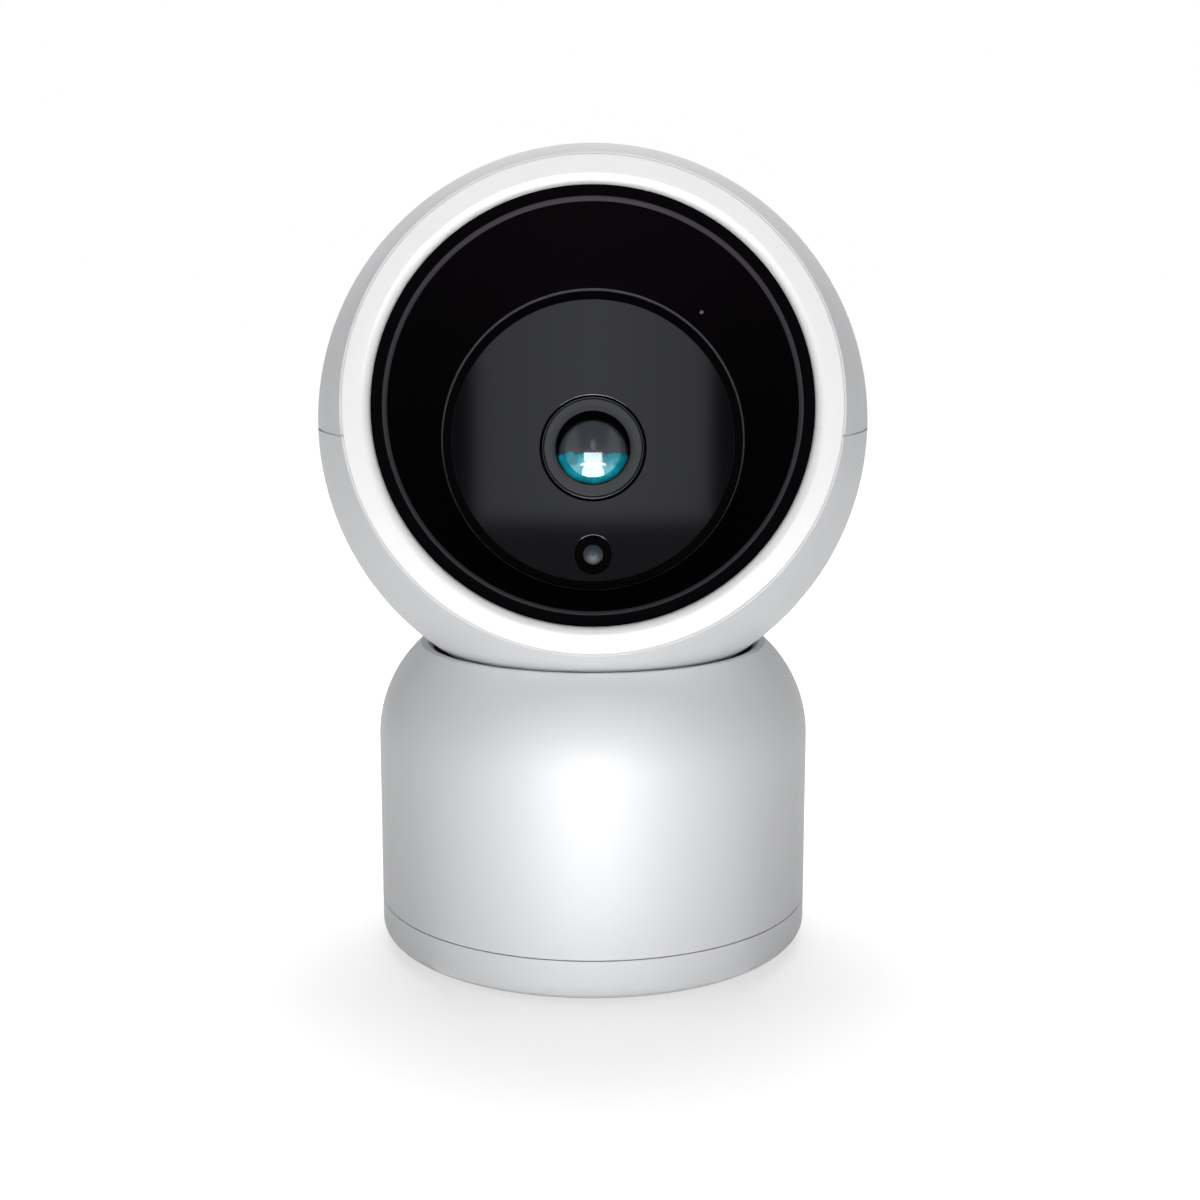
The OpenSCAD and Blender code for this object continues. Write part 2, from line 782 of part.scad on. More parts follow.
module tilt_motor() {
    color("silver") at_tilt_motor() difference() {
        union() {
            bar_x(tilt_motor_r, tilt_motor_x - tilt_motor_l, tilt_motor_x);
            bar_x(tilt_nose_r, tilt_motor_x - 0.1, tilt_motor_x + bracket_t);
        }
        bar_x(shaft_r + running, tilt_motor_x - 3.2, frame_x + 1);
        for (s = [-1, 1])
            translate([0, s * motor_screw_off, 0]) bar_x(m16[0], tilt_motor_x - 2, tilt_motor_x + 1);
    }
}

module tilt_motor_screws() {
    color("silver") at_tilt_motor() for (s = [-1, 1])
        translate([frame_x, s * motor_screw_off, 0]) rotate([0, -90, 0])
            screw(m16, bracket_t + 1.6);
}

module tilt_shaft() {
    color("silver") at_tilt_motor() bar_x(shaft_r, tilt_motor_x - 3, gear_out + 0.3);
}

// The pinion's gap faces the tilt axis, where the tilt gear has a tooth.
module tilt_pinion() {
    color("ivory") at_tilt_motor() translate([gear_x, 0, 0]) rotate([0, 90, 0])
        rotate([0, 0, 180 / pinion_teeth - tilt_motor_angle])
            gear(pinion_teeth, pinion_shift, shaft_r, tilt_gear_w);
}

module tilt_bushes() {
    color("ivory") at_ball() for (x = [boss_right, -boss_left - bush_l]) difference() {
        bar_x(tilt_bush_r, x, x + bush_l);
        bar_x(pin_r + running, x - 1, x + bush_l + 1);
    }
}

// ---- Yoke ----

module yoke() {
    color([0.85, 0.85, 0.85]) {
        difference() {
            union() {
                at_yoke() {
                    translate([-arm_out, -arm_w / 2, -bar_in - bar_t])
                        cube([2 * arm_out, arm_w, bar_t]);
                    translate([-post_w / 2, -post_t / 2, -post_reach])
                        cube([post_w, post_t, post_reach - bar_in]);
                    for (x = [-arm_out, arm_x]) {
                        translate([x, -arm_w / 2, -bar_in - 0.1]) cube([arm_t, arm_w, bar_in + 0.1]);
                        bar_x(arm_hub_r, x, x + arm_t);
                    }
                    bar_x(arm_hub_r, arm_x, gear_out);
                }
                translate([-post_w / 2, foot_front, table_top])
                    cube([post_w, foot_back - foot_front, foot_top - table_top]);
                translate([-foot_w / 2, flange_y, table_top])
                    cube([foot_w, foot_back - flange_y - 3, foot_t]);
            }
            at_yoke() bar_x(pin_r, -arm_out - 1, gear_out + 1);
            at_yoke() translate([0, post_t / 2 + 1, shield_screw_z]) rotate([90, 0, 0])
                cylinder(r = m16[0], h = 5);
            for (x = [-yoke_screw_x, yoke_screw_x])
                translate([x, yoke_screw_y, table_top - 1]) cylinder(r = m2[0], h = 4);
        }
    }
}

module tilt_pins() {
    color("silver") at_ball() {
        bar_x(pin_r, arm_x, boss_right + bush_l - 0.3);
        bar_x(pin_r, -boss_left - bush_l + 0.3, -arm_x);
    }
}

// One of the gear's teeth faces the tilt motor's axis.
module tilt_gear() {
    color("ivory") at_ball() translate([gear_x, 0, 0]) rotate([0, 90, 0])
        rotate([0, 0, 270 - face_tilt - tilt_motor_angle])
            gear(tilt_teeth, -pinion_shift, arm_hub_r, tilt_gear_w);
}

module dust_shield() {
    color([0.8, 0.8, 0.8]) difference() {
        union() {
            at_ball() sweep_x(post_lean, shield_to) intersection() {
                difference() {
                    circle(r = shield_r);
                    circle(r = shield_r - shield_t);
                }
                translate([shield_r - 8, -shield_half]) square([10, 2 * shield_half]);
            }
            at_yoke() translate([-post_w / 2, post_t / 2, shield_pad_low])
                 cube([post_w, shield_pad_t, shield_pad_w]);
        }
        at_yoke() translate([-shield_half - 1, -post_t, -head_r])
            cube([2 * shield_half + 2, 1.5 * post_t, 20]);
        at_yoke() translate([0, post_t, shield_screw_z]) rotate([90, 0, 0])
            cylinder(r = m16[0] + hole_play, h = 5);
    }
}

module shield_screw() {
    color("silver") at_yoke() translate([0, post_t / 2 + shield_pad_t, shield_screw_z]) rotate([90, 0, 0])
        screw(m16, 3.8);
}

// ---- Turntable and pan drive ----

module turntable() {
    color([0.85, 0.85, 0.85]) difference() {
        union() {
            translate([0, 0, table_z]) cylinder(r = table_r, h = table_t);
            translate([0, 0, shoulder_z]) cylinder(r = table_shoulder_r, h = table_z - shoulder_z + 0.1);
            translate([0, 0, hub_z]) cylinder(r = hub_r, h = table_z - hub_z);
            translate([0, 0, journal_z]) cylinder(r = journal_r, h = table_z - journal_z);
        }
        translate([0, 0, journal_z - 1]) cylinder(r = cable_hole_r, h = 40);
        ring(journal_r + 1, journal_r - clip_depth, clip_z - hair, clip_z + clip_t + hair);
        for (x = [-yoke_screw_x, yoke_screw_x]) translate([x, yoke_screw_y, table_z - 1]) {
            cylinder(r = m2[0] + hole_play, h = table_t + 2);
            cylinder(r = m2[1] + hole_play, h = 2);
        }
        for (a = gear_screw_angles)
            around(a, gear_screw_r) translate([0, 0, shoulder_z - 1]) cylinder(r = m16[0], h = 3.4);
    }
}

module yoke_screws() {
    color("silver") for (x = [-yoke_screw_x, yoke_screw_x])
        translate([x, yoke_screw_y, table_z + 1]) screw(m2, table_t + 0.8);
}

module pan_gear() {
    color("ivory") translate([0, 0, pan_gear_z]) difference() {
        rotate([0, 0, -90]) gear(pan_teeth, -pinion_shift, hub_r + 0.02, pan_gear_w);
        for (a = gear_screw_angles) around(a, gear_screw_r) {
            translate([0, 0, -1]) cylinder(r = m16[0] + hole_play, h = pan_gear_w + 2);
            translate([0, 0, -1]) cylinder(r = m16[1] + hole_play, h = 2);
        }
    }
}

module pan_gear_screws() {
    color("silver") for (a = gear_screw_angles)
        around(a, gear_screw_r) translate([0, 0, pan_gear_z + 1]) screw(m16, pan_gear_w);
}

module retaining_clip() {
    color("silver") difference() {
        ring(clip_r, journal_r - clip_depth + 0.02, clip_z, clip_z + clip_t);
        translate([0, -clip_mouth / 2, clip_z - 1]) cube([20, clip_mouth, clip_t + 2]);
    }
}

module pan_pinion() {
    color("ivory") translate([0, -pan_centre, pan_gear_z - 1]) rotate([0, 0, 90 + 180 / pinion_teeth])
        gear(pinion_teeth, pinion_shift, shaft_r, pan_gear_w + 1);
}

module pan_shaft() {
    color("silver") translate([0, -pan_centre, deck_z - 3])
        cylinder(r = shaft_r, h = pan_gear_z + pan_gear_w + 0.3 - deck_z + 3);
}

module pan_motor() {
    color("silver") translate([0, -pan_centre, 0]) difference() {
        union() {
            translate([0, 0, deck_z - pan_motor_l]) cylinder(r = pan_motor_r, h = pan_motor_l);
            translate([0, 0, deck_z - 0.1]) cylinder(r = motor_nose_r, h = motor_nose_h + 0.1);
            for (s = [-1, 1])
                translate([s * ear_x, 0, deck_z - ear_t]) cylinder(r = ear_r, h = ear_t);
            slab(2 * ear_x, 2 * ear_r, deck_z - ear_t, deck_z);
        }
        translate([0, 0, deck_z - 3.2]) cylinder(r = shaft_r + running, h = 10);
        for (s = [-1, 1])
            translate([s * ear_x, 0, deck_z - 2]) cylinder(r = m2[0] + hole_play, h = 4);
    }
}

module pan_motor_screws() {
    color("silver") for (s = [-1, 1])
        translate([s * ear_x, -pan_centre, deck_z - ear_t]) screw(m2, deck_t + 0.4);
}

module deck() {
    color([0.3, 0.3, 0.32]) difference() {
        union() {
            translate([0, 0, deck_z]) cylinder(r = inner_r - 0.3, h = deck_t);
            translate([0, 0, deck_boss_z]) cylinder(r = pan_bush_r + 1.2, h = deck_z - deck_boss_z + 0.1);
            for (a = post_angles) around(a, post_ring_r)
                translate([0, 0, cover_lip_top + 0.5])
                    cylinder(r = boss_r, h = deck_z - cover_lip_top - 0.4);
        }
        translate([0, 0, deck_boss_z - 1]) cylinder(r = pan_bush_r, h = 20);
        translate([0, -pan_centre, deck_z - 1]) cylinder(r = motor_nose_r + slip, h = deck_t + 2);
        for (s = [-1, 1])
            translate([s * ear_x, -pan_centre, deck_z - 1]) cylinder(r = m2[0], h = deck_t + 2);
        for (a = stop_angles) around(a, stop_ring_r)
            translate([0, 0, deck_z - 1]) cylinder(r = m2[0] + hole_play, h = deck_t + 2);
        for (a = post_angles) around(a, post_ring_r)
            translate([0, 0, cover_lip_top])
                cylinder(r = m25[0], h = base_screw_tip + 0.5 - cover_lip_top);
        around(wire_angle, wire_ring_r) translate([0, 0, deck_z - 1])
            cylinder(r = wire_hole_r, h = deck_t + 2);
    }
}

module deck_screws() {
    color("silver") for (a = stop_angles)
        around(a, stop_ring_r) translate([0, 0, deck_z]) screw(m2, deck_t + 3.5);
}

module pan_bush() {
    color("ivory") difference() {
        union() {
            translate([0, 0, deck_boss_z]) cylinder(r = pan_bush_r, h = deck_top - deck_boss_z + 0.1);
            translate([0, 0, deck_top]) cylinder(r = pan_bush_r + 2, h = bush_flange_t);
        }
        translate([0, 0, deck_boss_z - 1]) cylinder(r = journal_r + running, h = 20);
    }
}

// ---- Base ----

// The outline of the base, from the seam to the rim, drawn in from its surface by a wall.
module base_outline(wall) {
    translate([0, seam_z - (wall > 0 ? 1 : 0)])
        square([base_r - wall, shoulder_cz - seam_z + (wall > 0 ? 1 : 0)]);
    intersection() {
        union() {
            translate([shoulder_x, shoulder_cz]) circle(r = shoulder_r - wall);
            translate([0, shoulder_cz]) square([shoulder_x, shoulder_r - wall]);
        }
        translate([0, shoulder_cz - 0.01]) square([base_r, rim_z - shoulder_cz + 0.01]);
    }
}

// The power inlet's rounded outline, grown by a gap.
module inlet_outline(gap) {
    r = inlet_h / 2 + gap;
    for (x = [-1, 1]) translate([x * (inlet_w - inlet_h) / 2, 0]) circle(r = r);
    square([inlet_w - inlet_h, 2 * r], center = true);
}

// A place on the base's wall, with X pointing outwards.
module at_wall(angle, z) {
    rotate([0, 0, angle]) translate([0, 0, z]) children();
}

module base_housing() {
    pitch = grille_hole_r * 3.5;
    color("white") difference() {
        union() {
            rotate_extrude() difference() {
                base_outline(0);
                base_outline(base_wall);
                translate([0, head_z]) circle(r = seat_r);
            }
            for (a = stop_angles) around(a, stop_ring_r) translate([0, 0, deck_top])
                cylinder(r = stop_r, h = table_z - deck_top - 0.7);
        }
        translate([0, inner_r + 5, board_top + inlet_h / 2]) rotate([90, 0, 0])
            linear_extrude(10) inlet_outline(0.25);
        at_wall(button_angle, button_z) bar_x(button_r + slip, inner_r - 2, base_r + 2);
        for (ring_no = [0 : 2], k = [0 : max(0, ring_no * 6 - 1)])
            at_wall(speaker_angle, speaker_z) rotate([ring_no == 0 ? 0 : k * 60 / ring_no, 0, 0])
                translate([0, 0, ring_no * pitch]) bar_x(grille_hole_r, inner_r - 3, base_r + 2);
        for (a = stop_angles) around(a, stop_ring_r)
            translate([0, 0, deck_top - 1]) cylinder(r = m2[0], h = 5);
    }
}

module bottom_cover() {
    color("white") difference() {
        union() {
            rotate_extrude() difference() {
                union() {
                    translate([0, pad_out]) square([base_r - foot_round, seam_z - pad_out - 0.15]);
                    translate([0, pad_out + foot_round])
                        square([base_r, seam_z - pad_out - foot_round - 0.15]);
                    translate([base_r - foot_round, pad_out + foot_round]) circle(r = foot_round);
                    translate([cover_lip_r - cover_lip_t, floor_top])
                        square([cover_lip_t, cover_lip_top - floor_top]);
                }
                translate([0, floor_top]) square([cover_lip_r - cover_lip_t, 20]);
            }
            translate([0, 0, pad_out]) cylinder(r = insert_r + 2, h = thread_l + 0.5);
            for (a = post_angles) around(a, post_ring_r)
                translate([0, 0, pad_out + 0.3]) cylinder(r = boss_r, h = cover_lip_top + 0.1 - pad_out);
            for (p = board_posts)
                translate([p[0], p[1], pad_out + 0.5])
                    cylinder(r = board_post_r, h = power_board_z - pad_out - 0.5);
            at_wall(speaker_angle, 0) translate([speaker_at + 0.6, -5, floor_top - 0.5])
                cube([speaker_t - 1.2, 10, 6]);
        }
        ring(pad_out_r + slip, pad_in_r - slip, pad_out - 1, pad_out + pad_seat);
        translate([0, 0, pad_out - 1]) cylinder(r = insert_r, h = thread_l + 1);
        for (a = post_angles) around(a, post_ring_r) translate([0, 0, pad_out]) {
            cylinder(r = m25[0] + hole_play, h = 20);
            cylinder(r = m25[1] + hole_play, h = base_screw_z - pad_out);
        }
        for (p = board_posts)
            translate([p[0], p[1], power_board_z - 4]) cylinder(r = m16[0], h = 5);
        at_wall(speaker_angle, speaker_z) bar_x(speaker_r + hair, speaker_at - 1, cover_lip_r + hair);
    }
}

module base_screws() {
    color("silver") for (a = post_angles) around(a, post_ring_r)
        translate([0, 0, base_screw_z]) screw(m25, base_screw_tip - base_screw_z);
}

module rubber_foot() {
    color([0.15, 0.15, 0.15]) ring(pad_out_r, pad_in_r, 0, pad_out + pad_seat);
}

module tripod_insert() {
    color("goldenrod") ring(insert_r, thread_r, pad_out, pad_out + thread_l);
}

module power_board() {
    color([0.05, 0.3, 0.15]) translate([0, 0, power_board_z]) difference() {
        intersection() {
            translate([-6, board_y, 0]) cube([power_board_w, power_board_d, board_t]);
            cylinder(r = cover_lip_r - cover_lip_t - 0.4, h = board_t);
        }
        for (p = board_posts) translate([p[0], p[1], -1])
            cylinder(r = m16[0] + hole_play, h = board_t + 2);
    }
}

module power_board_screws() {
    color("silver") for (p = board_posts) translate([p[0], p[1], board_top]) mirror([0, 0, 1])
        screw(m16, board_t + 3);
}

module power_inlet() {
    wall = 0.3;
    color("silver") translate([0, inlet_y + inlet_l, board_top + inlet_h / 2]) rotate([90, 0, 0]) {
        difference() {
            linear_extrude(inlet_l) inlet_outline(0);
            translate([0, 0, -1]) linear_extrude(inlet_l) inlet_outline(-wall);
        }
        translate([0, 0, 0.5]) linear_extrude(inlet_l - 1) square([inlet_w - 2.2, 0.7], center = true);
    }
}

module reset_switch() {
    color([0.2, 0.2, 0.2]) at_wall(button_angle, button_z) difference() {
        translate([inner_r - 5.9, -switch_size / 2, -switch_size / 2])
            cube([3.5, switch_size, switch_size]);
        bar_x(plunger_r + slip, plunger_in - button_travel - 0.3, inner_r);
    }
}

module switch_plunger() {
    color("ivory") at_wall(button_angle, button_z) bar_x(plunger_r, plunger_in, plunger_out);
}

module reset_button() {
    color([0.2, 0.2, 0.2]) at_wall(button_angle, button_z) {
        bar_x(button_r + 0.9, plunger_out, plunger_out + flange_l);
        bar_x(button_r, plunger_out + flange_l - slip, base_r + 0.2);
    }
}

module speaker() {
    color([0.2, 0.2, 0.2]) at_wall(speaker_angle, speaker_z) difference() {
        union() {
            bar_x(speaker_r, speaker_at + 2.4, speaker_at + speaker_t);
            bar_x(magnet_r, speaker_at, speaker_at + 2.5);
            bar_x(speaker_r, speaker_at + 0.8, speaker_at + 2.5);
        }
        rotate([0, 90, 0]) translate([0, 0, speaker_at + speaker_t - 1])
            cylinder(r1 = 2, r2 = speaker_r - 1, h = 1.01);
    }
}

module speaker_gasket() {
    color([0.1, 0.1, 0.1]) at_wall(speaker_angle, speaker_z) difference() {
        bar_x(speaker_r, speaker_at + speaker_t, inner_r - 1.5);
        bar_x(speaker_r - 1.6, speaker_at, inner_r);
    }
}

head_upper_shell();
head_lower_shell();
front_ring();
hood();
window();
lens_barrel();
front_lens();
rear_lens();
lens_holder();
image_sensor();
camera_board();
ir_board();
ir_lamps();
light_sensor();
light_sensor_lens();
microphone();
inner_frame();
main_board();
shield_can();
board_connector();
wifi_antenna();
tilt_motor();
tilt_bushes();
frame_screws();
board_screws();
tilt_motor_screws();
tilt_pinion();
tilt_shaft();
yoke();
tilt_pins();
tilt_gear();
dust_shield();
shield_screw();
turntable();
pan_gear();
pan_gear_screws();
yoke_screws();
retaining_clip();
pan_pinion();
pan_shaft();
base_housing();
bottom_cover();
rubber_foot();
tripod_insert();
deck();
pan_bush();
pan_motor();
power_board();
power_inlet();
reset_switch();
speaker();
speaker_gasket();
base_screws();
deck_screws();
pan_motor_screws();
power_board_screws();
reset_button();
switch_plunger();
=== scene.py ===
"""Finishes, detailed pieces, studio and camera for a pan-and-tilt security camera."""

import json
import math

import bmesh
import bpy
from mathutils import Matrix, Vector

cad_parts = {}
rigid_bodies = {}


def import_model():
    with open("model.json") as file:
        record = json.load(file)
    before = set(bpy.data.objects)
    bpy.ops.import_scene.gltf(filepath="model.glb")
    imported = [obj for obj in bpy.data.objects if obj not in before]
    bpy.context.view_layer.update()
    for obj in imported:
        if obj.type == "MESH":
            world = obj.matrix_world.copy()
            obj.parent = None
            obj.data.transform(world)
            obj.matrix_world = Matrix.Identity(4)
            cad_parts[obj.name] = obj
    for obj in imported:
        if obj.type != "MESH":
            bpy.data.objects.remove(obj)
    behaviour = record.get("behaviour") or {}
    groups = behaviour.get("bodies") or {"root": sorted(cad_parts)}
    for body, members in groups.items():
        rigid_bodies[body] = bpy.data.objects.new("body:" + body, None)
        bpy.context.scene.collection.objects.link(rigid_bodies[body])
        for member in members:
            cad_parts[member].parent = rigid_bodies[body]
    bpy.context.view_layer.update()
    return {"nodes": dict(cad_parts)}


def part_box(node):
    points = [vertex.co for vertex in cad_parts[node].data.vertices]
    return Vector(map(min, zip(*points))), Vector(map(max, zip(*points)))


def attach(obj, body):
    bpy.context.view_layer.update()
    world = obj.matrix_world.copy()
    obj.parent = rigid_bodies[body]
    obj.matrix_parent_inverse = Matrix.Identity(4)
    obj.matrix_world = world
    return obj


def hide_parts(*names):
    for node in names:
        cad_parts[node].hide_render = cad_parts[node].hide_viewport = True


for left_over in list(bpy.data.objects):
    bpy.data.objects.remove(left_over)

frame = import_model()

# ---- Sizes, in millimetres unless a comment says otherwise ----
# The face's own frame has its origin at the ball's centre, Z out of the face and Y up along it.
# Radii are about that axis, and heights, in names that end in _w, run along it.

MM = 0.001  # in metres
SLIP = 0.1  # gap between pieces that are pushed together
HAIR = 0.05  # gap between pieces that lie flush
TOUCH = 0.001  # faces closer than this are in one plane
FACE_TILT = math.radians(12)  # in radians

# The ball and its ring.
ball_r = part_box("head_upper_shell")[1].x / MM
ball_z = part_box("head_lower_shell")[1].z / MM
HEAD_WALL = 1.8
RING_OUT = 32.3
RING_IN = 28.5
RING_T = 1.5

# The hood, from its mouth in the ring down to its nose round the window.
HOOD_DEPTH = 12
HOOD_WALL = 1.5
LIP_W = 1.9
LIP_ROUND = 0.42
NOSE_H = 0.35
NOSE_ROUND = 0.32
SKIM = 0.02  # keeps the nose off the window's face
HOOD_TUCK = 0.3  # how far its lower end reaches past the window's back
EDGE_BAND = 0.5  # how far the painted edge highlights reach
FLANGE_DROP = 1.25
FLANGE_T = 1.6
BOSS_R = 2.3
BOSS_BORE = 0.8
BOSSES = ((19.5, 17.5, 13.5), (-19.5, 17.5, 13.5), (17.5, -19, 9.8), (-17.5, -19, 9.8))  # x, y and top
MIC_AT = (14.5, 13.6)
MIC_R = 0.3
MIC_W = 8.7  # the back of its gauze
GAUZE_T = 0.3

# The window.
WINDOW_R = 20.1
WINDOW_DROP = 3.2
WINDOW_RIM = 1.1  # what lies under the hood's nose
WINDOW_T = 1.5
WINDOW_EASE = 0.06
BORDER_W = 1.1  # what of the printed border the hood leaves open
BORDER_STEP = 0.12
SENSOR_DROP = 15.4
SENSOR_R = 2.5

# The lens, and what lies between the window and the lens barrel's back.
LENS_DROP = 4.3
LENS_RING_R = 7
LENS_GAP = 0.15
LENS_PROUD = 0.25
SEAT_DEPTH = 0.9
BARREL_R = 6
BARREL_ROUND = 0.18
BARREL_SEAT = 0.6
BARREL_BACK_T = 1
RING_REACH = 1.5  # how far its wide ring reaches past the window's back
LIP_R = 4.92
LIP_T = 0.4
GROOVE_R = 6.6
GROOVE_HALF = 0.08
GLASS_R = 5.35
GLASS_EDGE = 0.7
DOME_H = 1.9
IR_GAP = 0.15
IR_LAMP_H = 1.6
BOARD_T = 1.4
FRAME_T = 1.8
HOLDER_H = 9.2
BARREL_LIFT = 2.9  # from the camera board up to the barrel's back

FACE = Matrix.Translation((0, 0, ball_z * MM)) @ Matrix.Rotation(math.pi / 2 - FACE_TILT, 4, "X")
face_w = math.sqrt(ball_r**2 - RING_OUT**2)
ring_back = face_w - RING_T
window_w = face_w - HOOD_DEPTH
window_back = window_w - WINDOW_T
pocket_r = WINDOW_R + WINDOW_RIM + SLIP
border_r = WINDOW_R - BORDER_W
lens_front = window_w + LENS_PROUD
lens_seat = window_back - SEAT_DEPTH
ir_back = window_back - IR_GAP - IR_LAMP_H - BOARD_T
barrel_back = ir_back - FRAME_T - HOLDER_H + BARREL_LIFT


# ---- Materials ----

def linear(code):
    """An sRGB hex colour as linear RGBA."""
    channels = [int(code[i : i + 2], 16) / 255 for i in (1, 3, 5)]
    curve = [c / 12.92 if c <= 0.04045 else ((c + 0.055) / 1.055) ** 2.4 for c in channels]
    return (*curve, 1)


def add(material, kind, inputs=None, **settings):
    """A new node with its settings, and its inputs set to values or linked to sockets."""
    made = material.node_tree.nodes.new(kind)
    for name, value in settings.items():
        setattr(made, name, value)
    for socket, value in (inputs or {}).items():
        if isinstance(value, bpy.types.NodeSocket):
            material.node_tree.links.new(value, made.inputs[socket])
        else:
            made.inputs[socket].default_value = value
    return made


def blank(name):
    """A new material with nothing in its node tree but the place of the shaded point, in metres."""
    material = bpy.data.materials.new(name)
    material.use_nodes = True
    material.node_tree.nodes.clear()
    place = add(material, "ShaderNodeTexCoord").outputs["Object"]
    return material, place


DRIFT_MM = 50 / 3  # how far apart the faint patches of colour and gloss of a moulding lie


def moulded(name, colour, shade, roughness, grain_mm, depth_mm, **shader):
    """A moulded plastic: fine eroded grain from the mould, and a faint drift of colour and gloss."""
    material, place = blank(name)
    grain = add(material, "ShaderNodeTexNoise", {"Vector": place, "Scale": 1 / (grain_mm * MM), "Detail": 3})
    drift = add(material, "ShaderNodeTexNoise", {"Vector": place, "Scale": 1 / (DRIFT_MM * MM), "Detail": 2})
    tint = add(material, "ShaderNodeMix", {
        "Factor": drift.outputs["Fac"], "A": linear(colour), "B": linear(shade),
    }, data_type="RGBA")
    gloss = add(material, "ShaderNodeMapRange", {
        "Value": drift.outputs["Fac"], "To Min": roughness * 0.9, "To Max": roughness * 1.1,
    })
    bump = add(material, "ShaderNodeBump", {
        "Height": grain.outputs["Fac"], "Distance": depth_mm * MM, "Strength": 1,
    })
    surface = add(material, "ShaderNodeBsdfPrincipled", {
        "Base Color": tint.outputs["Result"], "Roughness": gloss.outputs["Result"],
        "Normal": bump.outputs["Normal"], **shader,
    })
    add(material, "ShaderNodeOutputMaterial", {"Surface": surface.outputs["BSDF"]})
    return material


def metal(name, colour, shade, roughness, grain_mm, stretch):
    """A worked metal: grain drawn out along X, Y or Z as the tool left it."""
    material, place = blank(name)
    drawn = add(material, "ShaderNodeMapping", {"Vector": place, "Scale": stretch})
    grain = add(material, "ShaderNodeTexNoise", {
        "Vector": drawn.outputs["Vector"], "Scale": 1 / (grain_mm * MM), "Detail": 4,
    })
    tint = add(material, "ShaderNodeMix", {
        "Factor": grain.outputs["Fac"], "A": linear(colour), "B": linear(shade),
    }, data_type="RGBA")
    gloss = add(material, "ShaderNodeMapRange", {
        "Value": grain.outputs["Fac"], "To Min": roughness * 0.75, "To Max": roughness * 1.25,
    })
    bump = add(material, "ShaderNodeBump", {"Height": grain.outputs["Fac"], "Distance": 0.01 * MM})
    surface = add(material, "ShaderNodeBsdfPrincipled", {
        "Base Color": tint.outputs["Result"], "Metallic": 1.0,
        "Roughness": gloss.outputs["Result"], "Normal": bump.outputs["Normal"],
    })
    add(material, "ShaderNodeOutputMaterial", {"Surface": surface.outputs["BSDF"]})
    return material


# White ABS, moulded against a fine eroded tool: a satin white with hardly any grain to see.
white_abs = moulded("white_abs", "#E4E5E7", "#E1E2E4", 0.48, 0.25, 0.004,
                    **{"Specular IOR Level": 0.36})
# The same ABS from a polished tool, for the face ring: a little glossier, and painted whiter than the shells
# for the brighter light the ring catches.
polished_abs_painted_lighter = moulded("polished_white_abs_painted_lighter", "#FAFAFA", "#F8F8F9", 0.36, 0.4, 0.002, IOR=1.5)
# Black polycarbonate painted a lighter grey along its two rounded edges: painted highlights that show as
# thin grey lines.
mouth_edge_highlight = moulded("black_polycarbonate_with_painted_mouth_highlight", "#39373C", "#312F34", 0.5, 0.3, 0.002,
                     **{"Specular IOR Level": 0.04})
window_edge_highlight = moulded("black_polycarbonate_with_painted_window_highlight", "#55535A", "#4C4A51", 0.5, 0.3, 0.002,
                      **{"Specular IOR Level": 0.03})
# The same polycarbonate from a fine-textured tool that kills stray light: black from every side.
textured_black = moulded("textured_black_polycarbonate", "#040304", "#060406", 0.62, 0.2, 0.01,
                         **{"Specular IOR Level": 0.005})
# Smoked acrylic sheet, hard-coated: a mirror-smooth face over near-black.
smoked_acrylic = moulded("smoked_acrylic", "#0A080B", "#0C0A0E", 0.05, 2.0, 0.0005, IOR=1.49,
                         **{"Specular Tint": linear("#F0F4FF")})
# Grey glass-filled nylon, for the yoke and the turntable.
filled_nylon = moulded("glass_filled_nylon", "#A5A7A8", "#96989A", 0.5, 0.5, 0.02)
# Natural acetal: the milky, slightly greasy plastic of small gears and bushes.
acetal = moulded("acetal", "#E6E2D6", "#DCD8CA", 0.35, 0.4, 0.005)
# Black ABS for the inner frame and housings.
black_abs = moulded("black_abs", "#1E1F21", "#17181A", 0.5, 0.3, 0.01)
# Silicone rubber: matt, with a fine powdery tooth.
silicone = moulded("silicone_rubber", "#2B2C2E", "#232426", 0.8, 0.3, 0.02)
# Zinc-plated steel, for screws, shafts, cans and motor cases.
zinc_steel = metal("zinc_plated_steel", "#B9BCC0", "#A6A9AD", 0.32, 0.15, (1, 1, 8))
# Turned brass, for the tripod thread and the aerial.
brass = metal("turned_brass", "#D8B468", "#C49E50", 0.3, 0.12, (1, 1, 6))
# Black-anodised aluminium, for the lens barrel: the dye hides the metal, so only its sheen is left.
anodised = moulded("black_anodised_aluminium", "#292C31", "#2E3137", 0.12, 0.1, 0.001, IOR=1.5)
# Woven nylon gauze, drawn coarse enough to show its threads.
gauze = moulded("nylon_gauze", "#3E4044", "#2C2E31", 0.6, 0.12, 0.03)
# Milky epoxy, for the dome of the light sensor.
epoxy = moulded("milky_epoxy", "#343A40", "#2C3137", 0.45, 0.5, 0.002, **{"Specular IOR Level": 0.25})


def lens_glass(name, tint):
    """Polished optical glass, clear enough to see what is under it."""
    material, place = blank(name)
    patches_mm = 10 / 3
    drift = add(material, "ShaderNodeTexNoise", {
        "Vector": place, "Scale": 1 / (patches_mm * MM), "Detail": 1,
    })
    gloss = add(material, "ShaderNodeMapRange", {
        "Value": drift.outputs["Fac"], "To Min": 0.02, "To Max": 0.04,
    })
    surface = add(material, "ShaderNodeBsdfPrincipled", {
        "Base Color": linear(tint), "Roughness": gloss.outputs["Result"], "IOR": 1.6,
        "Transmission Weight": 1.0,
    })
    add(material, "ShaderNodeOutputMaterial", {"Surface": surface.outputs["BSDF"]})
    return material


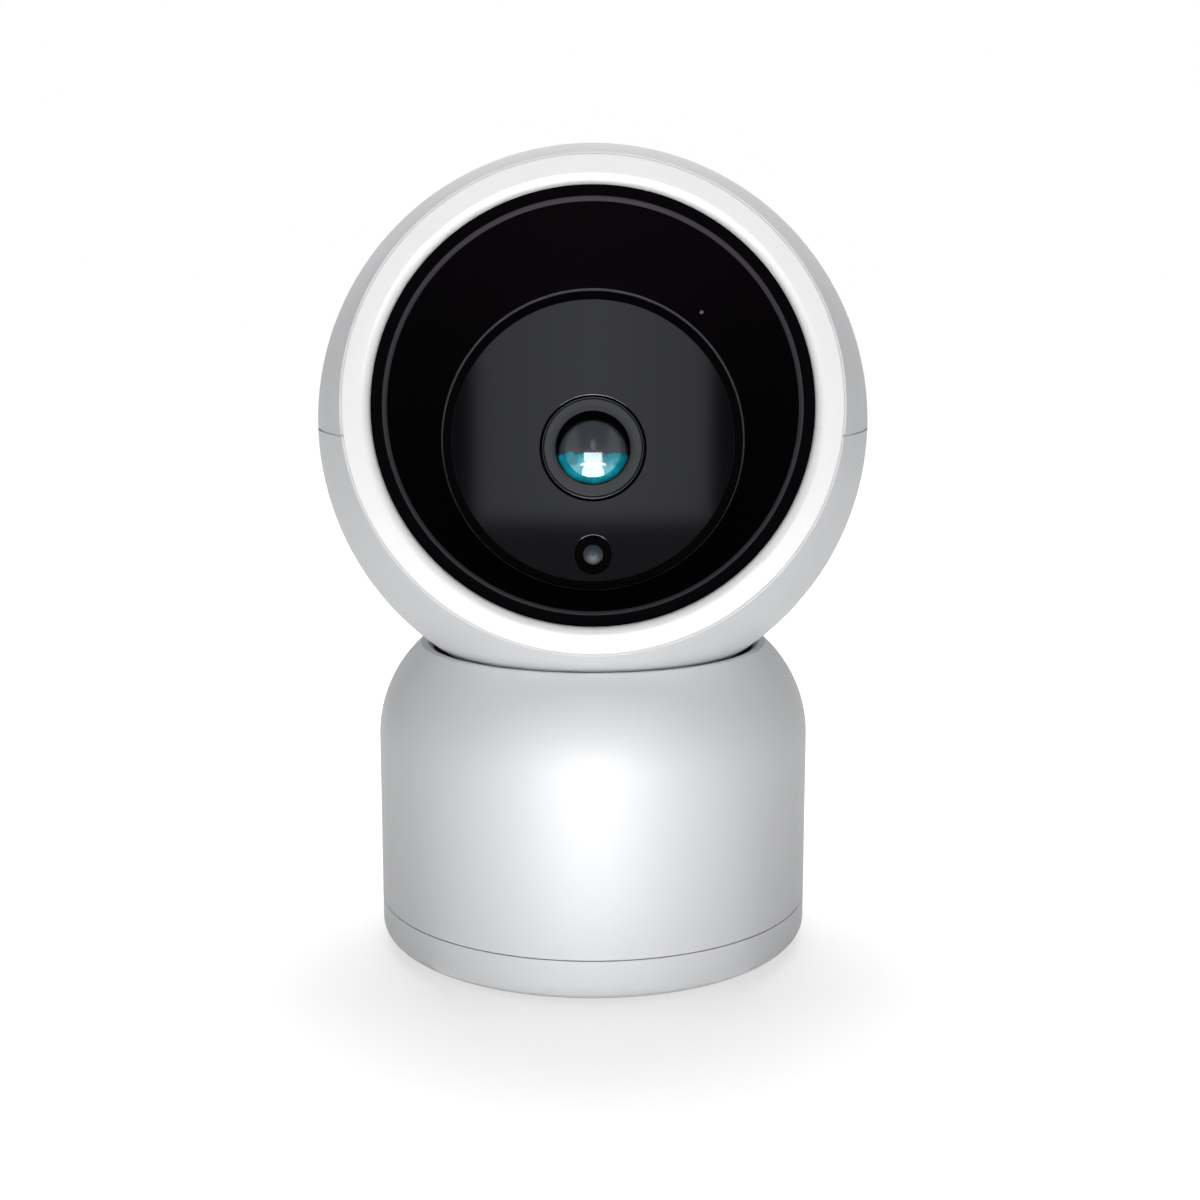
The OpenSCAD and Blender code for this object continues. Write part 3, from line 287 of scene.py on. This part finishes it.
def painted_lens_dome(centre):
    """The dome of the lens, opaque: a dim grey painted for its depth and reflection, a painted shade along
    the top where the barrel shades it, and a painted blue-green reflection low on it.
    """
    streak_mm, ragged_mm = 1.5, 0.35
    reflection_starts, reflection_full = -0.3 * MM, -0.8 * MM
    reflection_ends, reflection_whole = 4.95 * MM, 4.65 * MM
    painted_shade_drop, painted_shade_starts, painted_shade_full = 0.8 * MM, 4.2 * MM, 4.8 * MM
    material, place = blank("lens_dome_with_painted_reflection_and_shade")

    # Where a point lies across the glass, with Y up along the face.
    low = add(material, "ShaderNodeVectorMath", {0: place, 1: centre}, operation="SUBTRACT")
    low = add(material, "ShaderNodeVectorRotate", {
        "Vector": low.outputs[0], "Angle": FACE_TILT - math.pi / 2,
    }, rotation_type="X_AXIS")
    axes = add(material, "ShaderNodeSeparateXYZ", {"Vector": low.outputs["Vector"]})
    across = add(material, "ShaderNodeCombineXYZ", {0: axes.outputs["X"], 1: axes.outputs["Y"]})

    # The painted blue-green reflection fills the lower half, with a ragged upper edge, and stops short of
    # the barrel.
    streak = add(material, "ShaderNodeTexNoise", {
        "Vector": place, "Scale": 1 / (streak_mm * MM), "Detail": 1,
    })
    streak = add(material, "ShaderNodeMapRange", {
        "Value": streak.outputs["Fac"], "From Min": 0.4, "From Max": 0.6,
    })
    ragged = add(material, "ShaderNodeMath", {
        0: streak.outputs["Result"], 1: ragged_mm * MM, 2: axes.outputs["Y"],
    }, operation="MULTIPLY_ADD")
    level = add(material, "ShaderNodeMapRange", {
        "Value": ragged.outputs[0], "From Min": reflection_starts, "From Max": reflection_full,
    }, interpolation_type="SMOOTHSTEP")
    reach = add(material, "ShaderNodeVectorMath", {0: across.outputs[0]}, operation="LENGTH")
    rim = add(material, "ShaderNodeMapRange", {
        "Value": reach.outputs["Value"], "From Min": reflection_ends, "From Max": reflection_whole,
    }, interpolation_type="SMOOTHSTEP")
    painted_reflection = add(material, "ShaderNodeMath", {0: level.outputs["Result"], 1: rim.outputs["Result"]},
               operation="MULTIPLY")
    reflection_teal = add(material, "ShaderNodeMix", {
        "Factor": streak.outputs["Result"], "A": linear("#12AABE"), "B": linear("#0E8296"),
    }, data_type="RGBA")

    # A painted shade: the grey turns black in a crescent along the top, where the barrel shades the dome.
    lowered = add(material, "ShaderNodeVectorMath", {0: across.outputs[0], 1: (0, painted_shade_drop, 0)})
    lowered = add(material, "ShaderNodeVectorMath", {0: lowered.outputs[0]}, operation="LENGTH")
    shade = add(material, "ShaderNodeMapRange", {
        "Value": lowered.outputs["Value"], "From Min": painted_shade_starts, "From Max": painted_shade_full,
    }, interpolation_type="SMOOTHSTEP")
    grey_with_painted_shade = add(material, "ShaderNodeMix", {
        "Factor": shade.outputs["Result"], "A": linear("#43464C"), "B": linear("#050506"),
    }, data_type="RGBA")

    colour = add(material, "ShaderNodeMix", {
        "Factor": painted_reflection.outputs[0], "A": grey_with_painted_shade.outputs["Result"], "B": reflection_teal.outputs["Result"],
    }, data_type="RGBA")
    surface = add(material, "ShaderNodeBsdfPrincipled", {
        "Base Color": colour.outputs["Result"], "Roughness": 0.25, "Specular IOR Level": 0.1,
        "Coat Weight": 1.0, "Coat Roughness": 0.02, "Coat IOR": 1.6,
    })
    add(material, "ShaderNodeOutputMaterial", {"Surface": surface.outputs["BSDF"]})
    return material


def solder_mask(name, mask, shade, over_copper):
    """A circuit board: coloured solder mask with the faint relief of the copper tracks under it."""
    material, place = blank(name)
    track_mm = 2.4
    tracks = add(material, "ShaderNodeTexBrick", {
        "Vector": place, "Scale": 1 / (track_mm * MM), "Color1": linear(mask),
        "Color2": linear(shade), "Mortar": linear(over_copper), "Mortar Size": 0.06,
    })
    bump = add(material, "ShaderNodeBump", {"Height": tracks.outputs["Fac"], "Distance": 0.03 * MM})
    surface = add(material, "ShaderNodeBsdfPrincipled", {
        "Base Color": tracks.outputs["Color"], "Roughness": 0.35, "Normal": bump.outputs["Normal"],
    })
    add(material, "ShaderNodeOutputMaterial", {"Surface": surface.outputs["BSDF"]})
    return material


# Clear optical glass, for the rear lens, the infrared lamps and the solid under the painted front lens.
clear_glass = lens_glass("clear_lens_glass", "#EAF4F4")
# The front lens: an opaque dome under a clear coat, with a painted blue-green reflection and a painted shade
# on it.
lens_dome_paint = painted_lens_dome(FACE @ Vector((0, -LENS_DROP * MM, 0)))
# Green solder mask over copper, for the boards that no opening shows.
green_board = solder_mask("green_solder_mask", "#1C6B3C", "#17603A", "#2E8B57")
# Black solder mask for the boards behind the window, so that nothing shows in the gaps round the lens.
black_board = solder_mask("black_solder_mask", "#0B0C0D", "#090A0B", "#15171A")

FINISHES = {
    white_abs: "head_upper_shell head_lower_shell base_housing bottom_cover",
    polished_abs_painted_lighter: "front_ring",
    textured_black: "hood light_sensor",
    smoked_acrylic: "window",
    anodised: "lens_barrel",
    clear_glass: "front_lens rear_lens ir_lamps",
    epoxy: "light_sensor_lens",
    black_abs: "lens_holder image_sensor inner_frame reset_switch speaker deck reset_button",
    green_board: "main_board power_board",
    black_board: "camera_board ir_board",
    zinc_steel: "frame_screws board_screws tilt_motor_screws tilt_shaft tilt_pins shield_screw "
    "pan_gear_screws yoke_screws retaining_clip pan_shaft base_screws deck_screws "
    "pan_motor_screws power_board_screws power_inlet shield_can microphone tilt_motor pan_motor",
    acetal: "tilt_bushes tilt_pinion tilt_gear pan_gear pan_pinion pan_bush board_connector switch_plunger",
    filled_nylon: "yoke dust_shield turntable",
    silicone: "rubber_foot speaker_gasket",
    brass: "tripod_insert wifi_antenna",
}
for finish, names in FINISHES.items():
    for name in names.split():
        slots = frame["nodes"][name].data.materials
        slots.clear()
        slots.append(finish)


# ---- Shapes ----

def skin(bm, outlines):
    """Joins closed outlines of equal length, each to the next and the last to the first."""
    rows = [[bm.verts.new(point) for point in outline] for outline in outlines]
    for a, b in zip(rows, rows[1:] + rows[:1]):
        for i in range(len(a)):
            j = (i + 1) % len(a)
            bm.faces.new((a[i], a[j], b[j], b[i]))


def turned(bm, profile, centre, steps):
    """Turns a closed profile of radius and height about an axis along Z."""
    turns = [2 * math.pi * i / steps for i in range(steps)]
    skin(bm, [[(centre[0] + r * math.cos(a), centre[1] + r * math.sin(a), w) for r, w in profile]
              for a in turns])


def arc(centre, radius, start, end, steps):
    """Points on an arc, from one angle to another in degrees."""
    angles = [math.radians(start + (end - start) * i / steps) for i in range(steps + 1)]
    return [(centre[0] + radius * math.cos(a), centre[1] + radius * math.sin(a)) for a in angles]


def rounded(before, corner, after, reach, steps):
    """A corner between two straight edges, eased over a reach along each of them."""
    p, c, q = Vector(before), Vector(corner), Vector(after)
    start, end = c + (p - c).normalized() * reach, c + (q - c).normalized() * reach
    return [start.lerp(c, t).lerp(c.lerp(end, t), t) for t in (i / steps for i in range(steps + 1))]


def cut(body, tool):
    """Cuts a closed tool out of a piece, and takes the tool away."""
    made = body.modifiers.new("cut", "BOOLEAN")
    made.object, made.operation, made.solver = tool, "DIFFERENCE", "EXACT"
    done = body.evaluated_get(bpy.context.evaluated_depsgraph_get())
    result = bpy.data.meshes.new_from_object(done)
    body.modifiers.clear()
    body.data = result
    bpy.data.objects.remove(tool)


def solid(name, bm, finishes, sharp=35):
    """Turns a shape in the face's frame into an object, with its edges sharp from an angle on."""
    bmesh.ops.remove_doubles(bm, verts=bm.verts, dist=1e-5)
    bmesh.ops.recalc_face_normals(bm, faces=bm.faces)
    mesh = bpy.data.meshes.new(name)
    bm.to_mesh(mesh)
    bm.free()
    mesh.transform(FACE @ Matrix.Scale(MM, 4))
    mesh.shade_smooth()
    mesh.set_sharp_from_angle(angle=math.radians(sharp))
    for finish in finishes:
        mesh.materials.append(finish)
    made = bpy.data.objects.new(name, mesh)
    bpy.context.scene.collection.objects.link(made)
    return made


def piece(name, bm, finishes, replaced=None, sharp=35):
    """A piece of the model that rides on the head, and hides the node it stands for."""
    made = solid(name, bm, finishes, sharp)
    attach(made, "head")
    if replaced:
        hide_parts(replaced)
    return made


# ---- Face: the black hood, the window, the lens ----

def hood_outline(turn):
    """The hood's section at a turn about the face's axis, from the lip's back edge round to it again."""
    x, y = math.cos(turn), math.sin(turn)
    mouth_r, mouth_w = RING_IN - LIP_W, ring_back - HAIR
    low = window_back - HOOD_TUCK
    flange_top = ring_back - FLANGE_DROP
    flange_back = flange_top - FLANGE_T
    flange_r = math.sqrt((ball_r - HEAD_WALL) ** 2 - flange_top**2) - 2 * SLIP

    def at(r, w, drop=0.0):
        return Vector((r * x, r * y - drop, w))

    def wall(w):
        """A point on the back of the slanted wall."""
        share = (w - low) / (mouth_w - low)
        wide, narrow = mouth_r + HOOD_WALL, pocket_r + HOOD_WALL
        return at(narrow + (wide - narrow) * share, w, WINDOW_DROP * (1 - share))

    lip, mouth = at(RING_IN, mouth_w), at(mouth_r, mouth_w)
    nose, under = at(WINDOW_R, window_w + SKIM, WINDOW_DROP), at(WINDOW_R, window_w - 1, WINDOW_DROP)
    return [
        at(RING_IN + HOOD_WALL, mouth_w), lip, *rounded(lip, mouth, nose, LIP_ROUND, 8),
        *[mouth.lerp(nose, i / 16) for i in range(1, 15)],
        *rounded(mouth, nose + Vector((0, 0, NOSE_H)), under, NOSE_ROUND, 8),
        at(WINDOW_R, window_w, WINDOW_DROP), at(pocket_r, window_w, WINDOW_DROP),
        at(pocket_r, low, WINDOW_DROP), *[wall(low + rise) for rise in (0, 3, 6)], wall(flange_back),
        at(flange_r, flange_back), at(flange_r, flange_top), at(RING_IN + HOOD_WALL, flange_top),
    ]


def hood_shell():
    """The funnel with its flange and the microphone's pinhole. Its lip and its nose are painted lighter
    grey, as highlights along their edges.
    """
    bm = bmesh.new()
    skin(bm, [hood_outline(2 * math.pi * i / 240) for i in range(240)])
    for face in bm.faces:
        x, y, w = face.calc_center_median()
        from_mouth = abs(math.hypot(x, y) - (RING_IN - LIP_W)) + abs(w - ring_back)
        from_nose = abs(math.hypot(x, y + WINDOW_DROP) - WINDOW_R) + abs(w - window_w - SKIM - NOSE_H)
        face.material_index = 1 if from_mouth < EDGE_BAND else 2 if from_nose < EDGE_BAND else 0
    hood = piece("hood_shell", bm, [textured_black, mouth_edge_highlight, window_edge_highlight], "hood")
    bm = bmesh.new()
    drill_low, drill_high = 4, 20
    turned(bm, [(MIC_R, drill_low), (MIC_R, drill_high), (0.0, drill_high), (0.0, drill_low)], MIC_AT, 32)
    cut(hood, solid("microphone_drill", bm, [textured_black]))


def microphone_gauze():
    """The gauze in the microphone's hole, a little raised in the middle."""
    bm = bmesh.new()
    front = MIC_W + GAUZE_T
    turned(bm, [(0.0, MIC_W), (MIC_R, MIC_W), (MIC_R, front), (0.0, front + HAIR)], MIC_AT, 32)
    piece("microphone_gauze", bm, [gauze])


def hood_bosses():
    """The four screw bosses that stand behind the hood's wall."""
    bm = bmesh.new()
    for x, y, top in BOSSES:
        turned(bm, [(BOSS_R, ir_back), (BOSS_R, top), (BOSS_BORE, top), (BOSS_BORE, ir_back)], (x, y), 48)
    piece("hood_bosses", bm, [textured_black])


def plate_outline(curve, radius, centre):
    """Adds a circle to a flat curve. A circle inside another is a hole."""
    handle = 0.5523  # for a quarter of a circle of radius 1
    circle = curve.splines.new("BEZIER")
    circle.bezier_points.add(3)
    circle.use_cyclic_u = True
    for i, point in enumerate(circle.bezier_points):
        turn = math.pi / 2 * i
        out = Vector((math.cos(turn), math.sin(turn), 0)) * radius
        along = Vector((-math.sin(turn), math.cos(turn), 0)) * radius * handle
        point.co = Vector((*centre, 0)) + out
        point.handle_left, point.handle_right = point.co - along, point.co + along
    circle.resolution_u = 40


def window_disc():
    """The window: a flat disc with eased edges, open for the lens and for the light sensor."""
    flat = bpy.data.curves.new("window_outline", "CURVE")
    flat.dimensions, flat.fill_mode = "2D", "BOTH"
    flat.extrude = WINDOW_T / 2 - WINDOW_EASE
    flat.bevel_depth, flat.bevel_resolution, flat.offset = WINDOW_EASE, 2, -WINDOW_EASE
    plate_outline(flat, border_r, (0, -WINDOW_DROP))
    plate_outline(flat, LENS_RING_R + LENS_GAP, (0, -LENS_DROP))
    plate_outline(flat, SENSOR_R + SLIP, (0, -WINDOW_DROP - SENSOR_DROP))
    drawn = bpy.data.objects.new("window_outline", flat)
    bpy.context.scene.collection.objects.link(drawn)
    bm = bmesh.new()
    bm.from_mesh(drawn.to_mesh())
    bmesh.ops.translate(bm, vec=(0, 0, window_back + WINDOW_T / 2), verts=bm.verts)
    bpy.data.objects.remove(drawn)
    piece("window_disc", bm, [smoked_acrylic], "window", sharp=8)


def window_border():
    """The window's edge, printed black, and ground down a step where it slips under the hood."""
    step_w = window_w - BORDER_STEP
    bm = bmesh.new()
    turned(bm, [
        (border_r, window_back), (border_r, window_w - 0.01), (WINDOW_R, step_w),
        (WINDOW_R + WINDOW_RIM, step_w), (WINDOW_R + WINDOW_RIM, window_back),
    ], (0, -WINDOW_DROP), 200)
    piece("window_border", bm, [textured_black], sharp=4)


def lens_barrel():
    """A bevelled ring whose lip holds the glass down, with a spanner groove in its face, and its tube."""
    tube_r, seat_r = GLASS_R + HAIR, GLASS_R - BARREL_SEAT
    bm = bmesh.new()
    turned(bm, [
        (LENS_RING_R, window_back - RING_REACH),
        *rounded((LENS_RING_R, 0), (LENS_RING_R, lens_front), (0, lens_front), BARREL_ROUND, 4),
        (GROOVE_R + GROOVE_HALF, lens_front), (GROOVE_R + GROOVE_HALF / 2, lens_front - GROOVE_HALF),
        (GROOVE_R - GROOVE_HALF / 2, lens_front - GROOVE_HALF), (GROOVE_R - GROOVE_HALF, lens_front),
        *rounded((LENS_RING_R, lens_front), (LIP_R, lens_front), (LIP_R, 0), LIP_T / 4, 4),
        (LIP_R, lens_front - LIP_T), (tube_r, lens_front - LIP_T - 0.1),
        (tube_r, lens_seat), (seat_r, lens_seat), (seat_r, barrel_back + BARREL_BACK_T),
        (GLASS_R / 2, barrel_back + BARREL_BACK_T), (GLASS_R / 2, barrel_back), (BARREL_R, barrel_back),
        (BARREL_R, window_back - RING_REACH),
    ], (0, -LENS_DROP), 160)
    for face in bm.faces:
        in_front = face.calc_center_median().z > lens_front - TOUCH
        face.material_index = 0 if in_front else 1
    piece("lens_barrel_turned", bm, [anodised, textured_black], "lens_barrel", sharp=25)


def front_glass():
    """The front lens: a ground dome over a short straight edge."""
    dome_r = (GLASS_R**2 + DOME_H**2) / (2 * DOME_H)
    dome_low = lens_seat + GLASS_EDGE + DOME_H - dome_r
    rim_angle = math.degrees(math.acos(GLASS_R / dome_r))
    bm = bmesh.new()
    turned(bm, [
        (0.0, lens_seat), (GLASS_R, lens_seat), *arc((0, dome_low), dome_r, rim_angle, 90, 32)[:-1],
        (0.0, dome_low + dome_r),
    ], (0, -LENS_DROP), 128)
    piece("front_glass", bm, [lens_dome_paint], "front_lens")


hood_shell()
microphone_gauze()
hood_bosses()
window_disc()
window_border()
lens_barrel()
front_glass()


# ---- Studio ----

def backdrop_rays(owner):
    """1 for the rays that see the plain white backdrop: from the camera, off a gloss or through a glass."""
    path = add(owner, "ShaderNodeLightPath")
    seen = add(owner, "ShaderNodeMath", {0: path.outputs["Is Camera Ray"], 1: path.outputs["Is Glossy Ray"]},
               operation="MAXIMUM")
    seen = add(owner, "ShaderNodeMath", {0: seen.outputs[0], 1: path.outputs["Is Transmission Ray"]},
               operation="MAXIMUM")
    return seen.outputs[0]


def studio_world():
    """A world that is plain white to look at, and lights the object only a little."""
    dim = 0.05
    world = bpy.data.worlds.new("studio")
    world.use_nodes = True
    world.node_tree.nodes.clear()
    strength = add(world, "ShaderNodeMix", {"Factor": backdrop_rays(world), 2: dim, 3: 1.0})
    sky = add(world, "ShaderNodeBackground", {"Color": (1, 1, 1, 1), "Strength": strength.outputs[0]})
    add(world, "ShaderNodeOutputWorld", {"Surface": sky.outputs["Background"]})
    return world


def white_table():
    """White painted board that fades into the backdrop and keeps the object's shadow close to it."""
    near, far = 0.034, 0.1  # metres from the middle of the foot
    near_white = 0.62
    material, place = blank("white_table")
    paint = add(material, "ShaderNodeBsdfDiffuse", {"Color": linear("#C4C4C4")})
    away = add(material, "ShaderNodeVectorMath", {0: place}, operation="LENGTH")
    fade = add(material, "ShaderNodeMapRange", {
        "Value": away.outputs["Value"], "From Min": near, "From Max": far,
        "To Min": near_white, "To Max": 1.0,
    }, interpolation_type="SMOOTHSTEP")
    lift = add(material, "ShaderNodeMath", {0: backdrop_rays(material), 1: fade.outputs["Result"]},
               operation="MULTIPLY")
    glow = add(material, "ShaderNodeEmission", {"Strength": lift.outputs[0]})
    both = add(material, "ShaderNodeAddShader", {0: paint.outputs[0], 1: glow.outputs[0]})
    add(material, "ShaderNodeOutputMaterial", {"Surface": both.outputs[0]})
    return material


def reflected_room():
    """What gloss sees in front of the object: a dim room with one soft white panel high in the middle."""
    # In metres: where each edge starts to fade, and where it is done.
    panel_bottom, panel_top, panel_side = (0.302, 0.318), (0.6, 0.46), (0.079, 0.067)
    flank_edge = (0.3, 0.45)
    panel_half = 0.07
    material, place = blank("reflected_room")
    axes = add(material, "ShaderNodeSeparateXYZ", {"Vector": place})
    aside = add(material, "ShaderNodeMath", {0: axes.outputs["X"]}, operation="ABSOLUTE")

    # The panel, a little brighter along its middle.
    panel = 1.0
    for along, (start, end) in ((axes.outputs["Z"], panel_bottom), (aside.outputs[0], panel_side),
                                (axes.outputs["Z"], panel_top)):
        edge = add(material, "ShaderNodeMapRange", {
            "Value": along, "From Min": start, "From Max": end,
        }, interpolation_type="SMOOTHSTEP")
        panel = add(material, "ShaderNodeMath", {0: panel, 1: edge.outputs["Result"]},
                    operation="MULTIPLY").outputs[0]
    middle = add(material, "ShaderNodeMapRange", {
        "Value": aside.outputs[0], "From Min": 0.0, "From Max": panel_half, "To Min": 1.12, "To Max": 0.88,
    })

    # The walls: pale to the sides, dim under the panel, and dark above that level.
    flank = add(material, "ShaderNodeMapRange", {
        "Value": aside.outputs[0], "From Min": flank_edge[0], "From Max": flank_edge[1],
        "To Min": 0.02, "To Max": 0.4,
    }, interpolation_type="SMOOTHSTEP")
    low = add(material, "ShaderNodeMapRange", {
        "Value": axes.outputs["Z"], "From Min": panel_bottom[1], "From Max": panel_bottom[0],
        "To Min": 0.0, "To Max": 0.13,
    })
    walls = add(material, "ShaderNodeMath", {0: flank.outputs["Result"], 1: low.outputs["Result"]})

    level = add(material, "ShaderNodeMix", {
        "Factor": panel, 2: walls.outputs[0], 3: middle.outputs["Result"],
    })
    glow = add(material, "ShaderNodeEmission", {"Strength": level.outputs[0]})
    add(material, "ShaderNodeOutputMaterial", {"Surface": glow.outputs[0]})
    return material


def stage_piece(name, mesh, material):
    """A piece of the studio, which isn't part of the model."""
    mesh.materials.append(material)
    made = bpy.data.objects.new(name, mesh)
    bpy.context.scene.collection.objects.link(made)
    return made


def table():
    """A wide table top, a tenth of a millimetre under the object's foot."""
    half = 3
    mesh = bpy.data.meshes.new("table")
    corners = [(-half, -half, 0), (half, -half, 0), (half, half, 0), (-half, half, 0)]
    mesh.from_pydata(corners, [], [(0, 1, 2, 3)])
    stage_piece("table", mesh, white_table()).location = (0, 0, -0.1 * MM)


def room():
    """A piece of a sphere in front of the object. It shows in gloss, and lights and shades nothing."""
    room_r, in_front, above = 0.9, -0.25, 0.01
    bm = bmesh.new()
    bmesh.ops.create_uvsphere(bm, u_segments=72, v_segments=36, radius=room_r)
    outside = [v for v in bm.verts if v.co.y > in_front or v.co.z < above]
    bmesh.ops.delete(bm, geom=outside, context="VERTS")
    mesh = bpy.data.meshes.new("reflected_room")
    bm.to_mesh(mesh)
    bm.free()
    made = stage_piece("reflected_room", mesh, reflected_room())
    made.visible_camera = made.visible_diffuse = made.visible_transmission = False
    made.visible_shadow = made.visible_volume_scatter = False


def hang(name, light, place, aim, **seen_by):
    """Hangs a light and aims it at a point. The camera never sees it, and keywords say which rays do."""
    made = bpy.data.objects.new(name, light)
    made.location = place
    made.rotation_euler = (Vector(aim) - Vector(place)).to_track_quat("-Z", "Y").to_euler()
    made.visible_camera = False
    for rays, seen in seen_by.items():
        setattr(made, "visible_" + rays, seen)
    bpy.context.scene.collection.objects.link(made)
    return made


def softbox(name, place, aim, size, power, shape="RECTANGLE", **seen_by):
    """A flat soft lamp, with its size in metres and its power in watts."""
    light = bpy.data.lights.new(name, "AREA")
    light.shape = shape
    light.size, light.size_y = size
    light.energy = power
    hang(name, light, place, aim, **seen_by)


def snooted_spot(name, place, aim, cone, squeeze, power):
    """A lamp with a snoot that throws a small soft pool of light, squeezed to an upright oval."""
    light = bpy.data.lights.new(name, "SPOT")
    light.energy = power
    light.spot_size = math.radians(cone)
    light.spot_blend = 0.85
    light.shadow_soft_size = 0.01
    hang(name, light, place, aim, glossy=False).scale = (squeeze, 1, 1)


bpy.context.scene.world = studio_world()
table()
room()

# A low front softbox and a broad top one, with a weak one behind to part the edges from the backdrop.
softbox("front_softbox", (0, -0.7, 0.09), (0, 0, 0.06), (0.5, 0.17), 2.45, glossy=False)
softbox("top_softbox", (0, 0.25, 0.75), (0, 0, 0.05), (0.5, 0.5), 2.8, glossy=False)
softbox("back_softbox", (0, 0.55, 0.45), (0, 0, 0.07), (0.9, 0.5), 3.0, glossy=False)
# White cards that lie in front of the object show in its gloss, and the far one throws light up at it.
softbox("far_bounce", (0, -0.4, 0.002), (0, -0.4, 1), (0.24, 0.3), 1.9)
softbox("near_gloss", (0, -0.275, 0.002), (0, -0.275, 1), (0.14, 0.42), 1.85, "ELLIPSE", diffuse=False)
softbox("wide_gloss", (0, -0.2, 0.0015), (0, -0.2, 1), (0.4, 0.36), 0.55, "ELLIPSE", diffuse=False)
softbox("mid_gloss", (0, -0.45, 0.0015), (0, -0.45, 1), (0.28, 0.3), 3.4, diffuse=False)
softbox("low_gloss", (0, -0.6, 0.09), (0, 0, 0.06), (0.36, 0.17), 2.4, diffuse=False)
# The spot lights the middle of the base.
snooted_spot("base_spot", (0, -0.6, 0.12), (0, -0.03, 0.017), 6.3, 0.72, 2.75)

# ---- Camera ----

# A normal lens, a quarter of a metre in front of the ball's centre, looking a little down.
LOOKS_DOWN = 9.89
LOOKS_ASIDE = -0.2276

camera_data = bpy.data.cameras.new("camera")
camera_data.sensor_width = 36
camera_data.lens = 52.86
camera = bpy.data.objects.new("camera", camera_data)
camera.location = (0, -0.24387, 0.09054)
camera.rotation_euler = (math.radians(90 - LOOKS_DOWN), 0, math.radians(LOOKS_ASIDE))
bpy.context.scene.collection.objects.link(camera)
bpy.context.scene.camera = camera
bpy.context.scene.view_settings.view_transform = "Standard"
